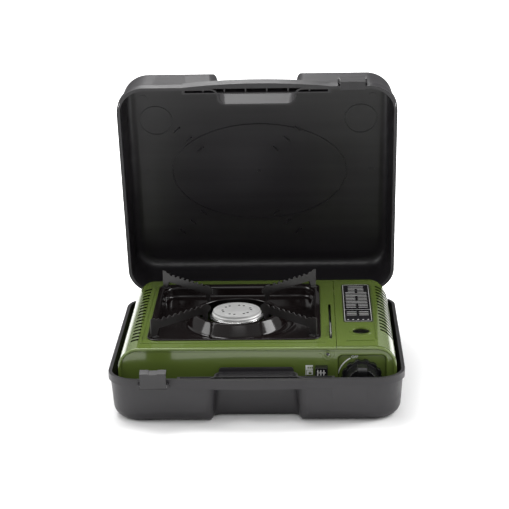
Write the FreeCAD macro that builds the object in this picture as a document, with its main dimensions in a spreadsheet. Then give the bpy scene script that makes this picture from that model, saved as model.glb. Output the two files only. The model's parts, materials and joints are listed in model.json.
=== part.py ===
import FreeCAD, Part
import math
import os
import re

import Sketcher

# Camping stove for butane cartridges, standing in its open carry case.
# Millimetres, +Z up, X to the right, Y to the back.
# The origin is the centre of the underside of the case tray.

V = FreeCAD.Vector

SIZES = {
    # Carry case: two like half shells, hinged at the back and latched at the front
    "case_width": 365, "case_depth": 320, "half_height": 59, "case_wall": 2.5,
    "case_draft": 4, "case_corner": 37, "case_edge": 16,
    "band_out": 1.8, "band_tall": 9, "band_skin": 1.6, "rim_gap": 0.15,
    "handle_half": 96, "handle_bow": 5.5, "handle_wide": 9.5, "handle_tall": 12,
    "handle_skin": 1.8, "handle_ribs": 6,
    "recess_half": "=handle_half - 47.5", "recess_back": 24, "recess_mouth": 12,
    "recess_corner": 9, "recess_edge": 7.5,
    "collar_tall": 4.5, "collar_skin": 2, "collar_round": 4, "collar_gap": 0.6,
    "hinge_out": 5.5, "knuckle_radius": 4.5, "knuckle_long": 20,
    "knuckle_far": "=case_width/2 - 52.5",
    "knuckle_gap": 0.5, "hinge_pin_radius": 2, "pin_clear": 0.05, "lid_open": 73.4,
    "latch_middle": "=case_width/2 - 58.5", "latch_wide": 32, "latch_skin": 2.8, "latch_out": 4.8,
    "latch_level": 7.5, "latch_barrel": 3.1, "latch_hook": 3, "latch_clear": 0.4,
    "latch_reach": 2.6, "latch_flare": 12, "latch_pin_radius": 1.5, "lug_thick": 2.5,
    "seat_middle": "=latch_middle - 10.5", "seat_wide": 47, "seat_tall": 42, "seat_draft": 6.4,
    "oval_long": "=case_width/2 - 63.5", "oval_short": "=case_depth/2 - 85", "oval_rib": 1.4,
    "floor_rib_tall": 1.2, "gate_radius": 3,
    "stay_rib_tall": 3, "stay_rib_long": 10, "stay_rib_wide": 1.4, "stay_rib_first": 50.5,
    "stay_rib_step": 15.2,
    "foot_ring_radius": 22, "foot_ring_skin": 1.2, "foot_ring_tall": 0.8,
    "foot_ring_x": "=case_width/2 - 45.5", "foot_ring_y": "=case_depth/2 - 79",
    "ejector_radius": 5, "ejector_tall": 0.5, "ejector_x": "=case_width/2 - 30",
    "ejector_y": "=case_depth/2 - 45",
    # Stove body: folded steel sheet on rubber feet
    "stove_width": "=case_width - 22", "stove_depth": "=case_depth - 48", "stove_x": 1,
    "stove_y": "=case_depth/2 - stove_depth/2 - 14.5",
    "stove_top": "=2*half_height - 31.3", "foot_tall": 8, "foot_radius": 9, "foot_gap": 0.1,
    "foot_inset": 24, "sheet": 1, "body_corner": 25, "rear_round": 25, "panel_inset": 3,
    "fold": 8, "joint_gap": 0.1, "front_margin": 6, "front_raise": 0.6, "emboss_round": 14,
    "seam_x": "=stove_x + stove_width/2 - 74", "seam_gap": 0.6, "side_top": "=stove_top - 26.7",
    "pan_middle_x": "=stove_x - stove_width/2 + 142", "pan_middle_y": "=stove_y + 4.5",
    "pan_long": "=seam_x - stove_x + stove_width/2 - 52", "pan_deep": "=stove_depth - 47",
    "vent_long": 6.5, "vent_wide": 4.5, "vent_pitch": 12.6, "vent_count": 17,
    "vent_inset": 17, "bead_wide": 3, "bead_tall": 0.8, "vent_first": 32, "bead_inset": 20,
    "bead_out": 7, "bead_stop": 14, "side_bead_inset": 24, "side_bead_short": 30,
    "rear_slot_count": 7, "rear_slot_pitch": 20, "rear_slot_wide": 4, "rear_slot_low": 22,
    "rear_slot_tall": 22, "base_slot_count": 9, "base_slot_pitch": 16, "base_slot_wide": 5,
    "base_slot_inset": 47, "base_slot_long": 45,
    "bay_x": "=stove_x + stove_width/2 - 40.5", "bay_z": "=stove_top - 37.7",
    "cartridge_radius": 33, "bay_wall_x": "=seam_x - 3", "bay_foot": 10,
    "cradle_gap": 1, "cradle_start": 18, "cradle_long": "=pusher_y - gas_body_back - 88",
    "cradle_rim": 12, "cradle_leg": 6, "cradle_leg_half": 16,
    # Cover of the cartridge bay
    "cover_axis_x": "=stove_x + stove_width/2 - 5.2", "cover_axis_z": "=side_top + 2.5",
    "cover_pin_radius": 1.5, "cover_curl": 3.4, "cover_low": 4.5, "lug_wide": 3,
    "finger_radius": 10.7, "finger_rim": 3.5, "finger_y": "=stove_y - stove_depth/2 + 59.5",
    "finger_x": "=bay_x - 1.5",
    "plate_skin": 0.4, "plate_corner": 3, "plate_left": "=bay_x - 22.5", "plate_wide": 37.5,
    "plate_front": "=stove_y - stove_depth/2 + 95", "plate_back": "=stove_y + stove_depth/2 - 22.5",
    # Burner and drip pan
    "cap_radius": 32, "cap_top": "=stove_top + 2.3", "cap_tall": 5.5, "cap_step": 1.5,
    "cap_ports": 12, "port_radius": 0.9, "port_spread": 5,
    "ring_radius": 35, "ring_tall": 3.5, "head_radius": 29, "head_floor": "=stove_top - 26.7",
    "head_skin": 2, "neck_radius": 13, "tube_radius": 9, "tube_skin": 1.2,
    "tube_z": "=head_floor - 12", "tube_stop": 22, "tube_collar": 12, "air_hole": 2.5,
    "pan_skin": 0.9, "pan_lip": 5, "pan_wall": 2, "well_drop": 16, "pan_corner": 14, "well_corner": 22,
    "crown_radius": 56, "crown_foot": 66, "crown_top": "=stove_top + 1.3", "pan_hole": 51,
    "stay_top": "=stove_top + 23.3", "stay_skin": 1.8, "stay_inner": 46,
    "stay_outer": "=sqrt(pan_long^2 + pan_deep^2)/2 - 10.3",
    "stay_horn": 2, "stay_horn_wide": 7, "stay_teeth": 8, "stay_clear": 0.3, "stay_tall": 12.5,
    "stay_foot": 13, "stay_tab": 9, "stay_tab_skin": 1.2, "seat_gap": 0.02,
    "tooth_rise": 0.8, "tooth_share": 0.36,
    # Gas and ignition
    "knob_x": "=bay_x - 2.5", "knob_z": "=half_height - 15", "knob_radius": 26,
    "knob_front": "=stove_y - stove_depth/2 - 20", "knob_skirt": 7, "knob_flutes": 14,
    "flute_radius": 4.4, "flute_out": 2.6, "knob_face": 6, "hub_inset": 8, "hub_draft": 4,
    "grip_wide": 12, "grip_long": 46, "spindle_radius": 3.5, "spindle_start": 8,
    "spindle_clear": 0.05, "dish_deep": 4, "dish_left": "=knob_x - 31.5",
    "dish_right": "=knob_x + 32.5", "dish_low": "=case_wall + foot_tall + 4",
    "dish_high": "=stove_top - 9.7", "dish_round": 9,
    "gas_body_wide": 40, "gas_body_deep": 30, "gas_body_tall": 36,
    "gas_body_back": "=stove_y - stove_depth/2 + 58.5", "gland_radius": 9, "gland_long": 8,
    "inlet_radius": 2.5, "gas_foot": 8, "diaphragm_radius": 14, "diaphragm_boss": 8,
    "diaphragm_tall": 4,
    "socket_radius": 15, "socket_deep": 10, "socket_bore": 8, "socket_key": 5,
    "seal_ring": 4, "seal_radius": 1.3,
    "pipe_radius": 3, "pipe_skin": 0.8, "pipe_bend": 12, "pipe_reach": 4, "jet_radius": 5,
    "jet_body": 8, "jet_nose": 5, "jet_hole": 0.6,
    "igniter_radius": 6, "igniter_long": 26, "igniter_out": 22, "plunger_radius": 3,
    "plunger_long": 8, "lead_radius": 1.3, "lead_bend": 4.5, "lead_drop": 22,
    "electrode_turn": 38.5, "electrode_angle": -60, "electrode_radius": 2.2,
    "electrode_low": "=head_floor - 2", "electrode_long": 14, "needle_radius": 0.8,
    "needle_out": 5, "holder_half": 6, "holder_skin": 1.5, "holder_foot": 13,
    "bracket_half": 11, "bracket_skin": 1.5, "bracket_reach": 12, "bracket_foot": 13,
    # Lock lever and cartridge pusher
    "lever_x": "=knob_x - 49.5", "lever_wide": 15, "lever_top": "=stove_top - 23.7",
    "lever_tall": 14, "lever_out": 11, "lever_clear": 0.4, "lever_travel": 18, "lever_stem": 4,
    "lever_plate": 1.5, "lever_back": 7, "guide_out": 8.6, "guide_half": 1.2, "guide_deep": 4,
    "label_wide": 9, "label_gap": 3, "label_tall": 13, "label_skin": 0.3,
    "pusher_y": "=stove_y + stove_depth/2 - 15.5", "pusher_skin": 1.5, "pusher_travel": 8,
    "pusher_half": 24, "pusher_gap": 0.3, "pusher_hole": 8, "pusher_shoe": 9,
    "rod_x": "=seam_x - 7.2", "rod_tall": 6.5, "link_drop": 16,
    "tab_front": "=stove_y - stove_depth/2 + 42.5", "tab_long": 39, "slot_back": "=tab_front + 125",
    "slot_wide": 3.2, "tab_skin": 1.6,
    "tab_proud": 4, "spring_radius": 3.2, "spring_wire": 0.6, "spring_turns": 9,
    "spring_drop": 14, "spring_clear": 0.05,
    "screw_radius": 2.6, "screw_head": 1.4, "screw_shank": 1.5, "screw_long": 5,
    "screw_clear": 0.1, "screw_x": "=lever_x + 8", "screw_z": "=stove_top - 9.7",
    "screw_inset": 18, "screw_up": 12, "screw_low_x": "=seam_x - 32.5",
}

doc = FreeCAD.newDocument("Stove")
sheet = doc.addObject("Spreadsheet::Sheet", "Sizes")
for number, (word, value) in enumerate(SIZES.items(), start=1):
    sheet.set(f"A{number}", word)
    sheet.set(f"B{number}", str(value))
    sheet.setAlias(f"B{number}", word)
doc.recompute()
probe = doc.addObject("Spreadsheet::Sheet", "Probe")

WORD = re.compile(r"[a-z][a-z_0-9]*")
TURNS = {
    "x": FreeCAD.Rotation(V(0, 1, 0), 90),
    "y": FreeCAD.Rotation(V(1, 0, 0), -90),
    "z": FreeCAD.Rotation(),
}
made = {}


def val(word):
    """The value that the sheet holds for one size."""
    return float(sheet.get(word))


def in_sheet(text):
    """An expression with each size named in the sheet."""
    return WORD.sub(lambda m: "Sizes." + m.group(0) if m.group(0) in SIZES else m.group(0), str(text))


def bind(item, path, text):
    """Drive one property of an object from the sheet."""
    item.setExpression(path, in_sheet(text))


def measure(text):
    """The value of an expression in the sheet's sizes."""
    probe.set("A1", "=" + in_sheet(text))
    probe.recompute()
    return float(probe.get("A1"))


def place_at(item, at):
    for axis, text in zip("xyz", at):
        bind(item, f"Placement.Base.{axis}", text)


def box(name, x, y, z):
    """A block between low and high expressions on each axis."""
    item = doc.addObject("Part::Box", name)
    for pair, side in zip((x, y, z), ("Length", "Width", "Height")):
        bind(item, side, f"({pair[1]}) - ({pair[0]})")
    place_at(item, (x[0], y[0], z[0]))
    return item


def rod(name, start, radius, length, axis="z"):
    """A cylinder from its start point along one axis."""
    item = doc.addObject("Part::Cylinder", name)
    item.Placement.Rotation = TURNS[axis]
    bind(item, "Radius", radius)
    bind(item, "Height", length)
    place_at(item, start)
    return item


def cone(name, start, low_radius, high_radius, length, axis="z"):
    item = doc.addObject("Part::Cone", name)
    item.Placement.Rotation = TURNS[axis]
    bind(item, "Radius1", low_radius)
    bind(item, "Radius2", high_radius)
    bind(item, "Height", length)
    place_at(item, start)
    return item


def fuse(name, *items):
    item = doc.addObject("Part::MultiFuse", name)
    item.Shapes = list(items)
    item.Refine = True
    return item


def cut(name, base, *tools):
    """The base less every tool."""
    item = doc.addObject("Part::Cut", name)
    item.Base = base
    item.Tool = tools[0] if len(tools) == 1 else fuse(name + "_tools", *tools)
    item.Refine = True
    return item


def common(name, first, second):
    item = doc.addObject("Part::MultiCommon", name)
    item.Shapes = [first, second]
    item.Refine = True
    return item


def group(name, *items):
    """Separate solids that share one node."""
    item = doc.addObject("Part::Compound", name)
    item.Links = list(items)
    return item


def from_code(name, shape):
    """An object whose shape is worked out in code from the sheet's values."""
    item = doc.addObject("Part::Feature", name)
    item.Shape = shape
    return item


def node(name, item, placement=None):
    """Name one finished sub-part."""
    item.Label = name
    if placement is not None:
        item.Placement = placement
    made[name] = item
    return item


def plane_of(body, role):
    return [f for f in body.Origin.OriginFeatures if f.Role == role][0]


def outline(body, name, role, corners, offset):
    """A closed outline of level and upright lines by turns, each held by its distance."""
    sketch = body.newObject("Sketcher::SketchObject", name)
    sketch.AttachmentSupport = [(plane_of(body, role), "")]
    sketch.MapMode = "FlatFace"
    bind(sketch, "AttachmentOffset.Base.z", offset)
    points = [V(measure(across), measure(up), 0) for across, up in corners]
    count = len(points)
    for i in range(count):
        sketch.addGeometry(Part.LineSegment(points[i], points[(i + 1) % count]), False)
    for i in range(count):
        sketch.addConstraint(Sketcher.Constraint("Coincident", i, 2, (i + 1) % count, 1))
        sketch.addConstraint(Sketcher.Constraint("Vertical" if i % 2 else "Horizontal", i))
    for i in range(count):
        kind = "DistanceX" if i % 2 else "DistanceY"
        start = points[i].x if i % 2 else points[i].y
        index = sketch.addConstraint(Sketcher.Constraint(kind, -1, 1, i, 1, start))
        bind(sketch, f"Constraints[{index}]", corners[i][0] if i % 2 else corners[i][1])
    return sketch


def round_edges(body, base, name, radius, wanted):
    """Fillet the edges of one feature that the test picks."""
    doc.recompute()
    names = [f"Edge{i}" for i, edge in enumerate(base.Shape.Edges, start=1) if wanted(edge)]
    fillet = body.newObject("PartDesign::Fillet", name)
    fillet.Base = (base, names)
    bind(fillet, "Radius", radius)
    return fillet


def padded(name, role, corners, low, high, draft):
    """A body with one padded outline, and its pad."""
    body = doc.addObject("PartDesign::Body", name)
    sketch = outline(body, name + "_outline", role, corners, low)
    pad = body.newObject("PartDesign::Pad", name + "_pad")
    pad.Profile = sketch
    bind(pad, "Length", f"({high}) - ({low})")
    bind(pad, "TaperAngle", draft)
    sketch.Visibility = False
    return body, pad


ALONG = {"XY_Plane": "ZLength", "XZ_Plane": "YLength", "YZ_Plane": "XLength"}


def moulded(name, x, y, z, corner=None, edge=None, draft="0", role="XY_Plane"):
    """A padded block with rounded corners, a rounded top edge and a draft."""
    corners = [(x[0], y[0]), (x[1], y[0]), (x[1], y[1]), (x[0], y[1])]
    body, last = padded(name, role, corners, z[0], z[1], draft)
    if corner is not None:
        last = round_edges(body, last, name + "_corners", corner,
                           lambda e: getattr(e.BoundBox, ALONG[role]) > 0.2)
    if edge is not None:
        doc.recompute()
        top = max(point.Z for point in last.Shape.Vertexes)
        last = round_edges(body, last, name + "_edge", edge,
                           lambda e: min(point.Z for point in e.Vertexes) > top - 0.1)
    return body


def notched(name, x, y, z, half, back, corner, mouth, inner, edge, draft):
    """A moulded block with a notch in its front, rounded into and out of the notch."""
    corners = [(x[0], y[0]), (f"-({half})", y[0]), (f"-({half})", back), (half, back),
               (half, y[0]), (x[1], y[0]), (x[1], y[1]), (x[0], y[1])]
    body, last = padded(name, "XY_Plane", corners, z[0], z[1], draft)
    reach = measure(half) + 1
    front = measure(y[0])

    def at_foot(e):
        return min(e.Vertexes, key=lambda point: point.Z)

    def upright(e):
        return e.BoundBox.ZLength > 0.2

    last = round_edges(body, last, name + "_corners", corner,
                       lambda e: upright(e) and abs(at_foot(e).X) > reach)
    last = round_edges(body, last, name + "_mouth", mouth,
                       lambda e: upright(e) and abs(at_foot(e).X) < reach and at_foot(e).Y < front + 1)
    last = round_edges(body, last, name + "_inner", inner,
                       lambda e: upright(e) and abs(at_foot(e).X) < reach - 0.5
                       and at_foot(e).Y > measure(back) - 1)
    doc.recompute()
    top = max(point.Z for point in last.Shape.Vertexes)
    round_edges(body, last, name + "_edge", edge,
                lambda e: min(point.Z for point in e.Vertexes) > top - 0.1)
    return body


def tunnel(name, x, z, back, front, corner, fold=None):
    """A block padded from back to front, rounded along its upper edges and its front."""
    corners = [(x[0], z[0]), (x[1], z[0]), (x[1], z[1]), (x[0], z[1])]
    body, pad = padded(name, "XZ_Plane", corners, f"-({back})", f"-({front})", "0")
    doc.recompute()
    top = pad.Shape.BoundBox.ZMax
    last = round_edges(body, pad, name + "_corners", corner,
                       lambda e: e.BoundBox.ZMin > top - 0.1 and e.BoundBox.YLength > 0.5)
    if fold is not None:
        doc.recompute()
        near = min(point.Y for point in last.Shape.Vertexes)
        low = min(point.Z for point in last.Shape.Vertexes)
        round_edges(body, last, name + "_fold", fold,
                    lambda e: max(point.Y for point in e.Vertexes) < near + 0.1
                    and max(point.Z for point in e.Vertexes) > low + 0.1)
    return body


def bent(points, bend, radius, name, hollow=0):
    """A round tube through straight runs that are joined by arcs."""
    edges = []
    start = points[0]
    for before, corner, after in zip(points, points[1:], points[2:]):
        to_before = (before - corner).normalize()
        to_after = (after - corner).normalize()
        half = to_before.getAngle(to_after) / 2
        step = bend / math.tan(half)
        first = corner + to_before * step
        last = corner + to_after * step
        inward = (to_before + to_after).normalize()
        middle = corner + inward * (bend / math.sin(half) - bend)
        edges.append(Part.makeLine(start, first))
        edges.append(Part.Arc(first, middle, last).toShape())
        start = last
    edges.append(Part.makeLine(start, points[-1]))
    path = Part.Wire(edges)
    way = (points[1] - points[0]).normalize()

    def swept(r):
        ring = Part.Wire([Part.makeCircle(r, points[0], way)])
        return path.makePipeShell([ring], True, False)

    shape = swept(radius)
    if hollow:
        shape = shape.cut(swept(radius - hollow))
    return from_code(name, shape)


# Places that several sub-parts share, worked out from the sheet
FRONT = "stove_y - stove_depth/2"
BACK = "stove_y + stove_depth/2"
LEFT = "stove_x - stove_width/2"
RIGHT = "stove_x + stove_width/2"
BOTTOM = "case_wall + foot_tall"
BASE_TOP = f"{BOTTOM} + sheet"
PANEL = f"{FRONT} + panel_inset"
FACE = f"({PANEL} - front_raise)"
DISH = f"{PANEL} + dish_deep"
WALL_TOP = "side_top - 6"
LINK_LOW = "stove_top - link_drop"
ROD_FRONT = f"{FRONT} + 6"
ROD_BACK = f"{BACK} - rear_round - 2*sheet"
COVER_BACK = f"{BACK} - 3*sheet"
BAND_FRONT = "-case_depth/2"
RECESS = "(recess_back - case_depth/2)"
GAS_FRONT = "(gas_body_back - gas_body_deep)"
GAS_MIDDLE = "(gas_body_back - gas_body_deep/2)"
IGNITER_FRONT = f"({GAS_FRONT} - 2*sheet)"
HINGE_Y = "case_depth/2 + hinge_out"

hinge_y = val("case_depth") / 2 + val("hinge_out")
half_height = val("half_height")
tray_place = FreeCAD.Placement(V(0, 0, half_height), FreeCAD.Rotation(V(0, 1, 0), 180))
lid_turn = FreeCAD.Rotation(V(-1, 0, 0), val("lid_open"))
lid_place = FreeCAD.Placement(
    V(0, hinge_y, half_height) - lid_turn.multVec(V(0, hinge_y, 0)), lid_turn)


# One half of the case, rim plane at the origin and shell towards +Z
def half_block(tag, skin):
    """The solid form of one half, drawn in by a wall's thickness, with its handle recess."""
    x = (f"-case_width/2 + band_out + {skin}", f"case_width/2 - band_out - {skin}")
    y = (f"-case_depth/2 + band_out + {skin}", f"case_depth/2 - band_out - {skin}")
    z = ("rim_gap", f"half_height - {skin}")
    corner = f"case_corner - band_out - {skin}"
    plain = moulded(tag + "_plain", x, y, z, corner, f"case_edge - {skin}", "-case_draft")
    shaped = notched(tag + "_shaped", x, y, z, f"recess_half + {skin}", f"{RECESS} + {skin}",
                     corner, f"recess_mouth - {skin}", f"recess_corner + {skin}",
                     f"recess_edge - {skin}", "-case_draft")
    return common(tag, plain, shaped)


def half_shell(tag):
    outer = half_block(tag + "_outer", "0")
    inner = half_block(tag + "_inner", "case_wall")
    band = moulded(
        tag + "_band", ("-case_width/2", "case_width/2"), ("-case_depth/2", "case_depth/2"),
        ("rim_gap", "band_tall"), "case_corner")
    hollow = moulded(
        tag + "_band_hollow",
        ("-case_width/2 + band_skin", "case_width/2 - band_skin"),
        ("-case_depth/2 + band_skin", "case_depth/2 - band_skin"),
        ("0", "band_tall + 1"), "case_corner - band_skin")
    gap = box(tag + "_band_gap", ("-recess_half - recess_mouth", "recess_half + recess_mouth"),
              ("-case_depth", f"{BAND_FRONT} + band_out"), ("0", "half_height"))
    lip = cut(tag + "_lip", band, hollow, gap)
    bow = "(handle_half^2 + handle_bow^2) / (2*handle_bow)"
    curve = rod(tag + "_handle_curve", ("0", f"{BAND_FRONT} - handle_bow + {bow}", "rim_gap"),
                bow, "handle_tall - rim_gap")
    span = box(tag + "_handle_span", ("-handle_half", "handle_half"),
               (f"{BAND_FRONT} - 2*handle_bow", f"{BAND_FRONT} + handle_wide"),
               ("rim_gap", "handle_tall"))
    bar = common(tag + "_handle", curve, span)
    trough = box(tag + "_handle_trough",
                 ("-handle_half + 2*handle_skin", "handle_half - 2*handle_skin"),
                 (f"{BAND_FRONT} + handle_skin", f"{BAND_FRONT} + handle_wide - handle_skin"),
                 ("0", "handle_tall - handle_skin"))
    ribs = []
    for i in range(int(val("handle_ribs"))):
        x = f"(-handle_half + handle_half*2*({i} + 1)/(handle_ribs + 1))"
        ribs.append(box(f"{tag}_handle_rib_{i}", (f"{x} - handle_skin/2", f"{x} + handle_skin/2"),
                        (f"{BAND_FRONT} + handle_skin/2", f"{BAND_FRONT} + handle_wide - handle_skin/2"),
                        ("handle_skin", "handle_tall - handle_skin/2")))
    additions = [lip, cut(tag + "_bar", bar, trough)] + ribs
    # Knuckles sit at the far left and nearer the right, so two like halves interleave
    near = "knuckle_far - knuckle_long - knuckle_gap"
    for side, start in (("left", "-knuckle_far"), ("right", f"{near} - knuckle_long")):
        barrel = rod(f"{tag}_knuckle_{side}", (start, HINGE_Y, "0"),
                     "knuckle_radius", "knuckle_long", "x")
        web = box(f"{tag}_web_{side}", (start, f"({start}) + knuckle_long"),
                  ("case_depth/2 - band_out - case_wall/2", HINGE_Y),
                  ("rim_gap + case_wall/4", "knuckle_radius"))
        additions += [barrel, web]
    for side, start in (("inner", "latch_middle - latch_wide/2 - latch_clear - lug_thick"),
                        ("outer", "latch_middle + latch_wide/2 + latch_clear")):
        additions.append(box(f"{tag}_lug_{side}", (start, f"({start}) + lug_thick"),
                             (f"{BAND_FRONT} - latch_out - latch_barrel", f"{BAND_FRONT} + band_skin/2"),
                             ("latch_level - latch_barrel", "latch_level + latch_barrel")))
    seat = moulded(tag + "_seat_block", ("-seat_middle - seat_wide/2", "-seat_middle + seat_wide/2"),
                   (BAND_FRONT, f"{BAND_FRONT} + band_out + case_wall/2 + 2*seat_tall*tan(seat_draft)"),
                   ("rim_gap", "seat_tall"), None, None, "-seat_draft")
    additions.append(cut(tag + "_seat", seat, inner))
    bores = [
        rod(tag + "_hinge_bore", ("-knuckle_far - 1", HINGE_Y, "0"),
            "hinge_pin_radius + pin_clear", "2*knuckle_far + 2", "x"),
        rod(tag + "_latch_bore",
            ("latch_middle - latch_wide/2 - latch_clear - lug_thick - 1",
             f"{BAND_FRONT} - latch_out", "latch_level"),
            "latch_pin_radius", "latch_wide + 2*latch_clear + 2*lug_thick + 2", "x")]
    return outer, inner, additions, bores


def collar():
    """The round-ended lip that stands above the tray's rim behind its handle, inside the shut lid."""
    half = "(recess_half - case_wall)"
    face = f"{RECESS} + case_wall + collar_gap"
    back = f"({face} + collar_skin)"
    low = "band_tall + collar_round"
    ends = [rod(f"collar_end_{i}", (f"{side}*({half} - collar_round)", face, "-collar_tall + collar_round"),
                "collar_round", "collar_skin", "y") for i, side in enumerate(("-1", "1"))]
    middle = box("collar_middle", (f"-{half} + collar_round", f"{half} - collar_round"),
                 (face, back), ("-collar_tall", low))
    wide = box("collar_wide", (f"-{half}", half), (face, back), ("-collar_tall + collar_round", low))
    foot = box("collar_foot", (f"-{half}", half), (f"{RECESS} + case_wall/2", back), ("rim_gap", low))
    return [*ends, middle, wide, foot]


def floor_ribs():
    """Raised marks on the inside face of the lid."""
    floor = val("half_height") - val("case_wall")
    tall = val("floor_rib_tall")
    sunk = val("case_wall") / 5
    ribs = []
    ring = []
    for grow in (0, -val("oval_rib")):
        ellipse = Part.Ellipse(V(0, 0, floor - tall), val("oval_long") + grow, val("oval_short") + grow)
        ring.append(Part.Face(Part.Wire([ellipse.toShape()])).extrude(V(0, 0, tall + sunk)))
    ribs.append(ring[0].cut(ring[1]))
    ribs.append(Part.makeCylinder(val("gate_radius"), tall + sunk, V(0, 0, floor - tall)))
    centre = V(val("pan_middle_x"), val("pan_middle_y"), floor - val("stay_rib_tall"))
    long = val("stay_rib_long")
    wide = val("stay_rib_wide")
    for step in range(3):
        reach = val("stay_rib_first") + step * val("stay_rib_step")
        for sx in (-1, 1):
            for sy in (-1, 1):
                rib = Part.makeBox(long, wide, val("stay_rib_tall") + sunk, V(-long / 2, -wide / 2, 0))
                rib.rotate(V(0, 0, 0), V(0, 0, 1), -45 * sx * sy)
                rib.translate(centre + V(sx * reach, sy * reach, 0))
                ribs.append(rib)
    for sx in (-1, 1):
        ring_tall = val("foot_ring_tall")
        at = V(sx * val("foot_ring_x"), -val("foot_ring_y"), floor - ring_tall)
        outer = Part.makeCylinder(val("foot_ring_radius"), ring_tall + sunk, at)
        bore = val("foot_ring_radius") - val("foot_ring_skin")
        ribs.append(outer.cut(Part.makeCylinder(bore, ring_tall + sunk, at)))
        low = floor - val("ejector_tall")
        for at in (V(sx * val("ejector_x"), 0, low), V(sx * val("ejector_x"), -val("ejector_y"), low)):
            ribs.append(Part.makeCylinder(val("ejector_radius"), val("ejector_tall") + sunk, at))
    return [from_code(f"floor_rib_{i}", rib) for i, rib in enumerate(ribs)]


def case_half(name, extras, placement):
    outer, inner, additions, bores = half_shell(name)
    shell = cut(name + "_shell", outer, inner)
    whole = fuse(name + "_whole", shell, *additions, *extras)
    node(name, cut(name + "_bored", whole, *bores), placement)


case_half("case_tray", collar(), tray_place)
case_half("case_lid", floor_ribs(), lid_place)


def hinge_pins():
    far = "knuckle_far"
    left = rod("hinge_pin_left", (f"-{far}", HINGE_Y, "half_height"),
               "hinge_pin_radius", "2*knuckle_long + knuckle_gap", "x")
    right = rod("hinge_pin_right", (f"{far} - 2*knuckle_long - knuckle_gap", HINGE_Y, "half_height"),
                "hinge_pin_radius", "2*knuckle_long + knuckle_gap", "x")
    node("hinge_pins", group("both_hinge_pins", left, right))


hinge_pins()


# One latch, its pivot at the origin and its hook towards -Z, closed
def latch(tag):
    hook_level = "-latch_level - band_tall - latch_clear"
    half = "latch_wide/2"
    barrel = rod(tag + "_barrel", (f"-{half}", "0", "0"), "latch_barrel", "latch_wide", "x")
    plate = moulded(
        tag + "_plate_blank", (f"-{half}", half),
        (f"{hook_level} - latch_hook", "0"), ("0", "latch_skin"), None, None, "0", "XZ_Plane")
    plate.Placement.Base = V(0, 0, 0)
    bind(plate, "Placement.Base.y", "-latch_barrel + latch_skin")
    hook = box(tag + "_hook", (f"-{half}", half),
               ("-latch_barrel", "latch_out + latch_reach"), (f"{hook_level} - latch_hook", hook_level))
    notch = box(tag + "_notch", ("-latch_wide/6", "latch_wide/6"),
                ("-2*latch_barrel", "2*latch_out"),
                (f"{hook_level} - latch_hook - 1", f"{hook_level} - latch_hook + 1"))
    bore = rod(tag + "_bore", (f"-{half} - 1", "0", "0"),
               "latch_pin_radius + pin_clear", "latch_wide + 2", "x")
    return cut(tag + "_bored", fuse(tag + "_whole", barrel, plate, hook), notch, bore)


def latch_pin(tag):
    return group(tag + "_pin_group", rod(
        tag + "_pin_rod", ("-latch_wide/2 - latch_clear - lug_thick", "0", "0"),
        "latch_pin_radius", "latch_wide + 2*latch_clear + 2*lug_thick", "x"))


latch_at = V(val("latch_middle"), -val("case_depth") / 2 - val("latch_out"), val("latch_level"))
flare = FreeCAD.Placement(V(0, 0, 0), FreeCAD.Rotation(V(1, 0, 0), -val("latch_flare")))
for tag, half_place in (("tray_latch", tray_place), ("lid_latch", lid_place)):
    seat = half_place.multiply(FreeCAD.Placement(latch_at, FreeCAD.Rotation()))
    node(tag, latch(tag), seat.multiply(flare))
    node(tag + "_pin", latch_pin(tag), seat)


# The stove's folded sheet body
def envelope(tag, skin, low, front):
    """A tunnel with rounded shoulders and rounded rear corners."""
    length = tunnel(tag + "_length", (f"{LEFT} + {skin}", f"{RIGHT} - {skin}"),
                    (low, f"stove_top - {skin}"), BACK, front, f"body_corner - {skin}")
    plan = moulded(tag + "_plan", (f"{LEFT} + {skin}", f"{RIGHT} - {skin}"),
                   (f"{FRONT} - 2*rear_round", f"{BACK} - {skin}"),
                   (f"{BOTTOM} - 10", "stove_top + 10"), f"rear_round - {skin}")
    return common(tag, length, plan)


outer_body = envelope("outer_body", "0", BOTTOM, FRONT)
inner_body = envelope("inner_body", "sheet", f"{BOTTOM} - 5", f"{FRONT} - 1")
body_skin = cut("body_skin", outer_body, inner_body)


def rear_slots(tag):
    slots = []
    for i in range(int(val("rear_slot_count"))):
        x = f"(pan_middle_x + ({i} - (rear_slot_count - 1)/2)*rear_slot_pitch)"
        slots.append(box(f"{tag}_slot_{i}", (f"{x} - rear_slot_wide/2", f"{x} + rear_slot_wide/2"),
                         (f"{BACK} - 8*sheet", f"{BACK} + 2*sheet"),
                         (f"{BOTTOM} + rear_slot_low", f"{BOTTOM} + rear_slot_low + rear_slot_tall")))
    return slots


def vents(tag, low_x, first_y, count, skip=()):
    """Short slots in a row from front to back along a top edge."""
    slots = []
    for i in range(int(count)):
        if i in skip:
            continue
        y = f"({first_y} + {i}*vent_pitch)"
        slots.append(box(f"{tag}_{i}", (low_x, f"{low_x} + vent_long"),
                         (y, f"{y} + vent_wide"), ("stove_top - body_corner", "stove_top + 3")))
    return slots


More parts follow.
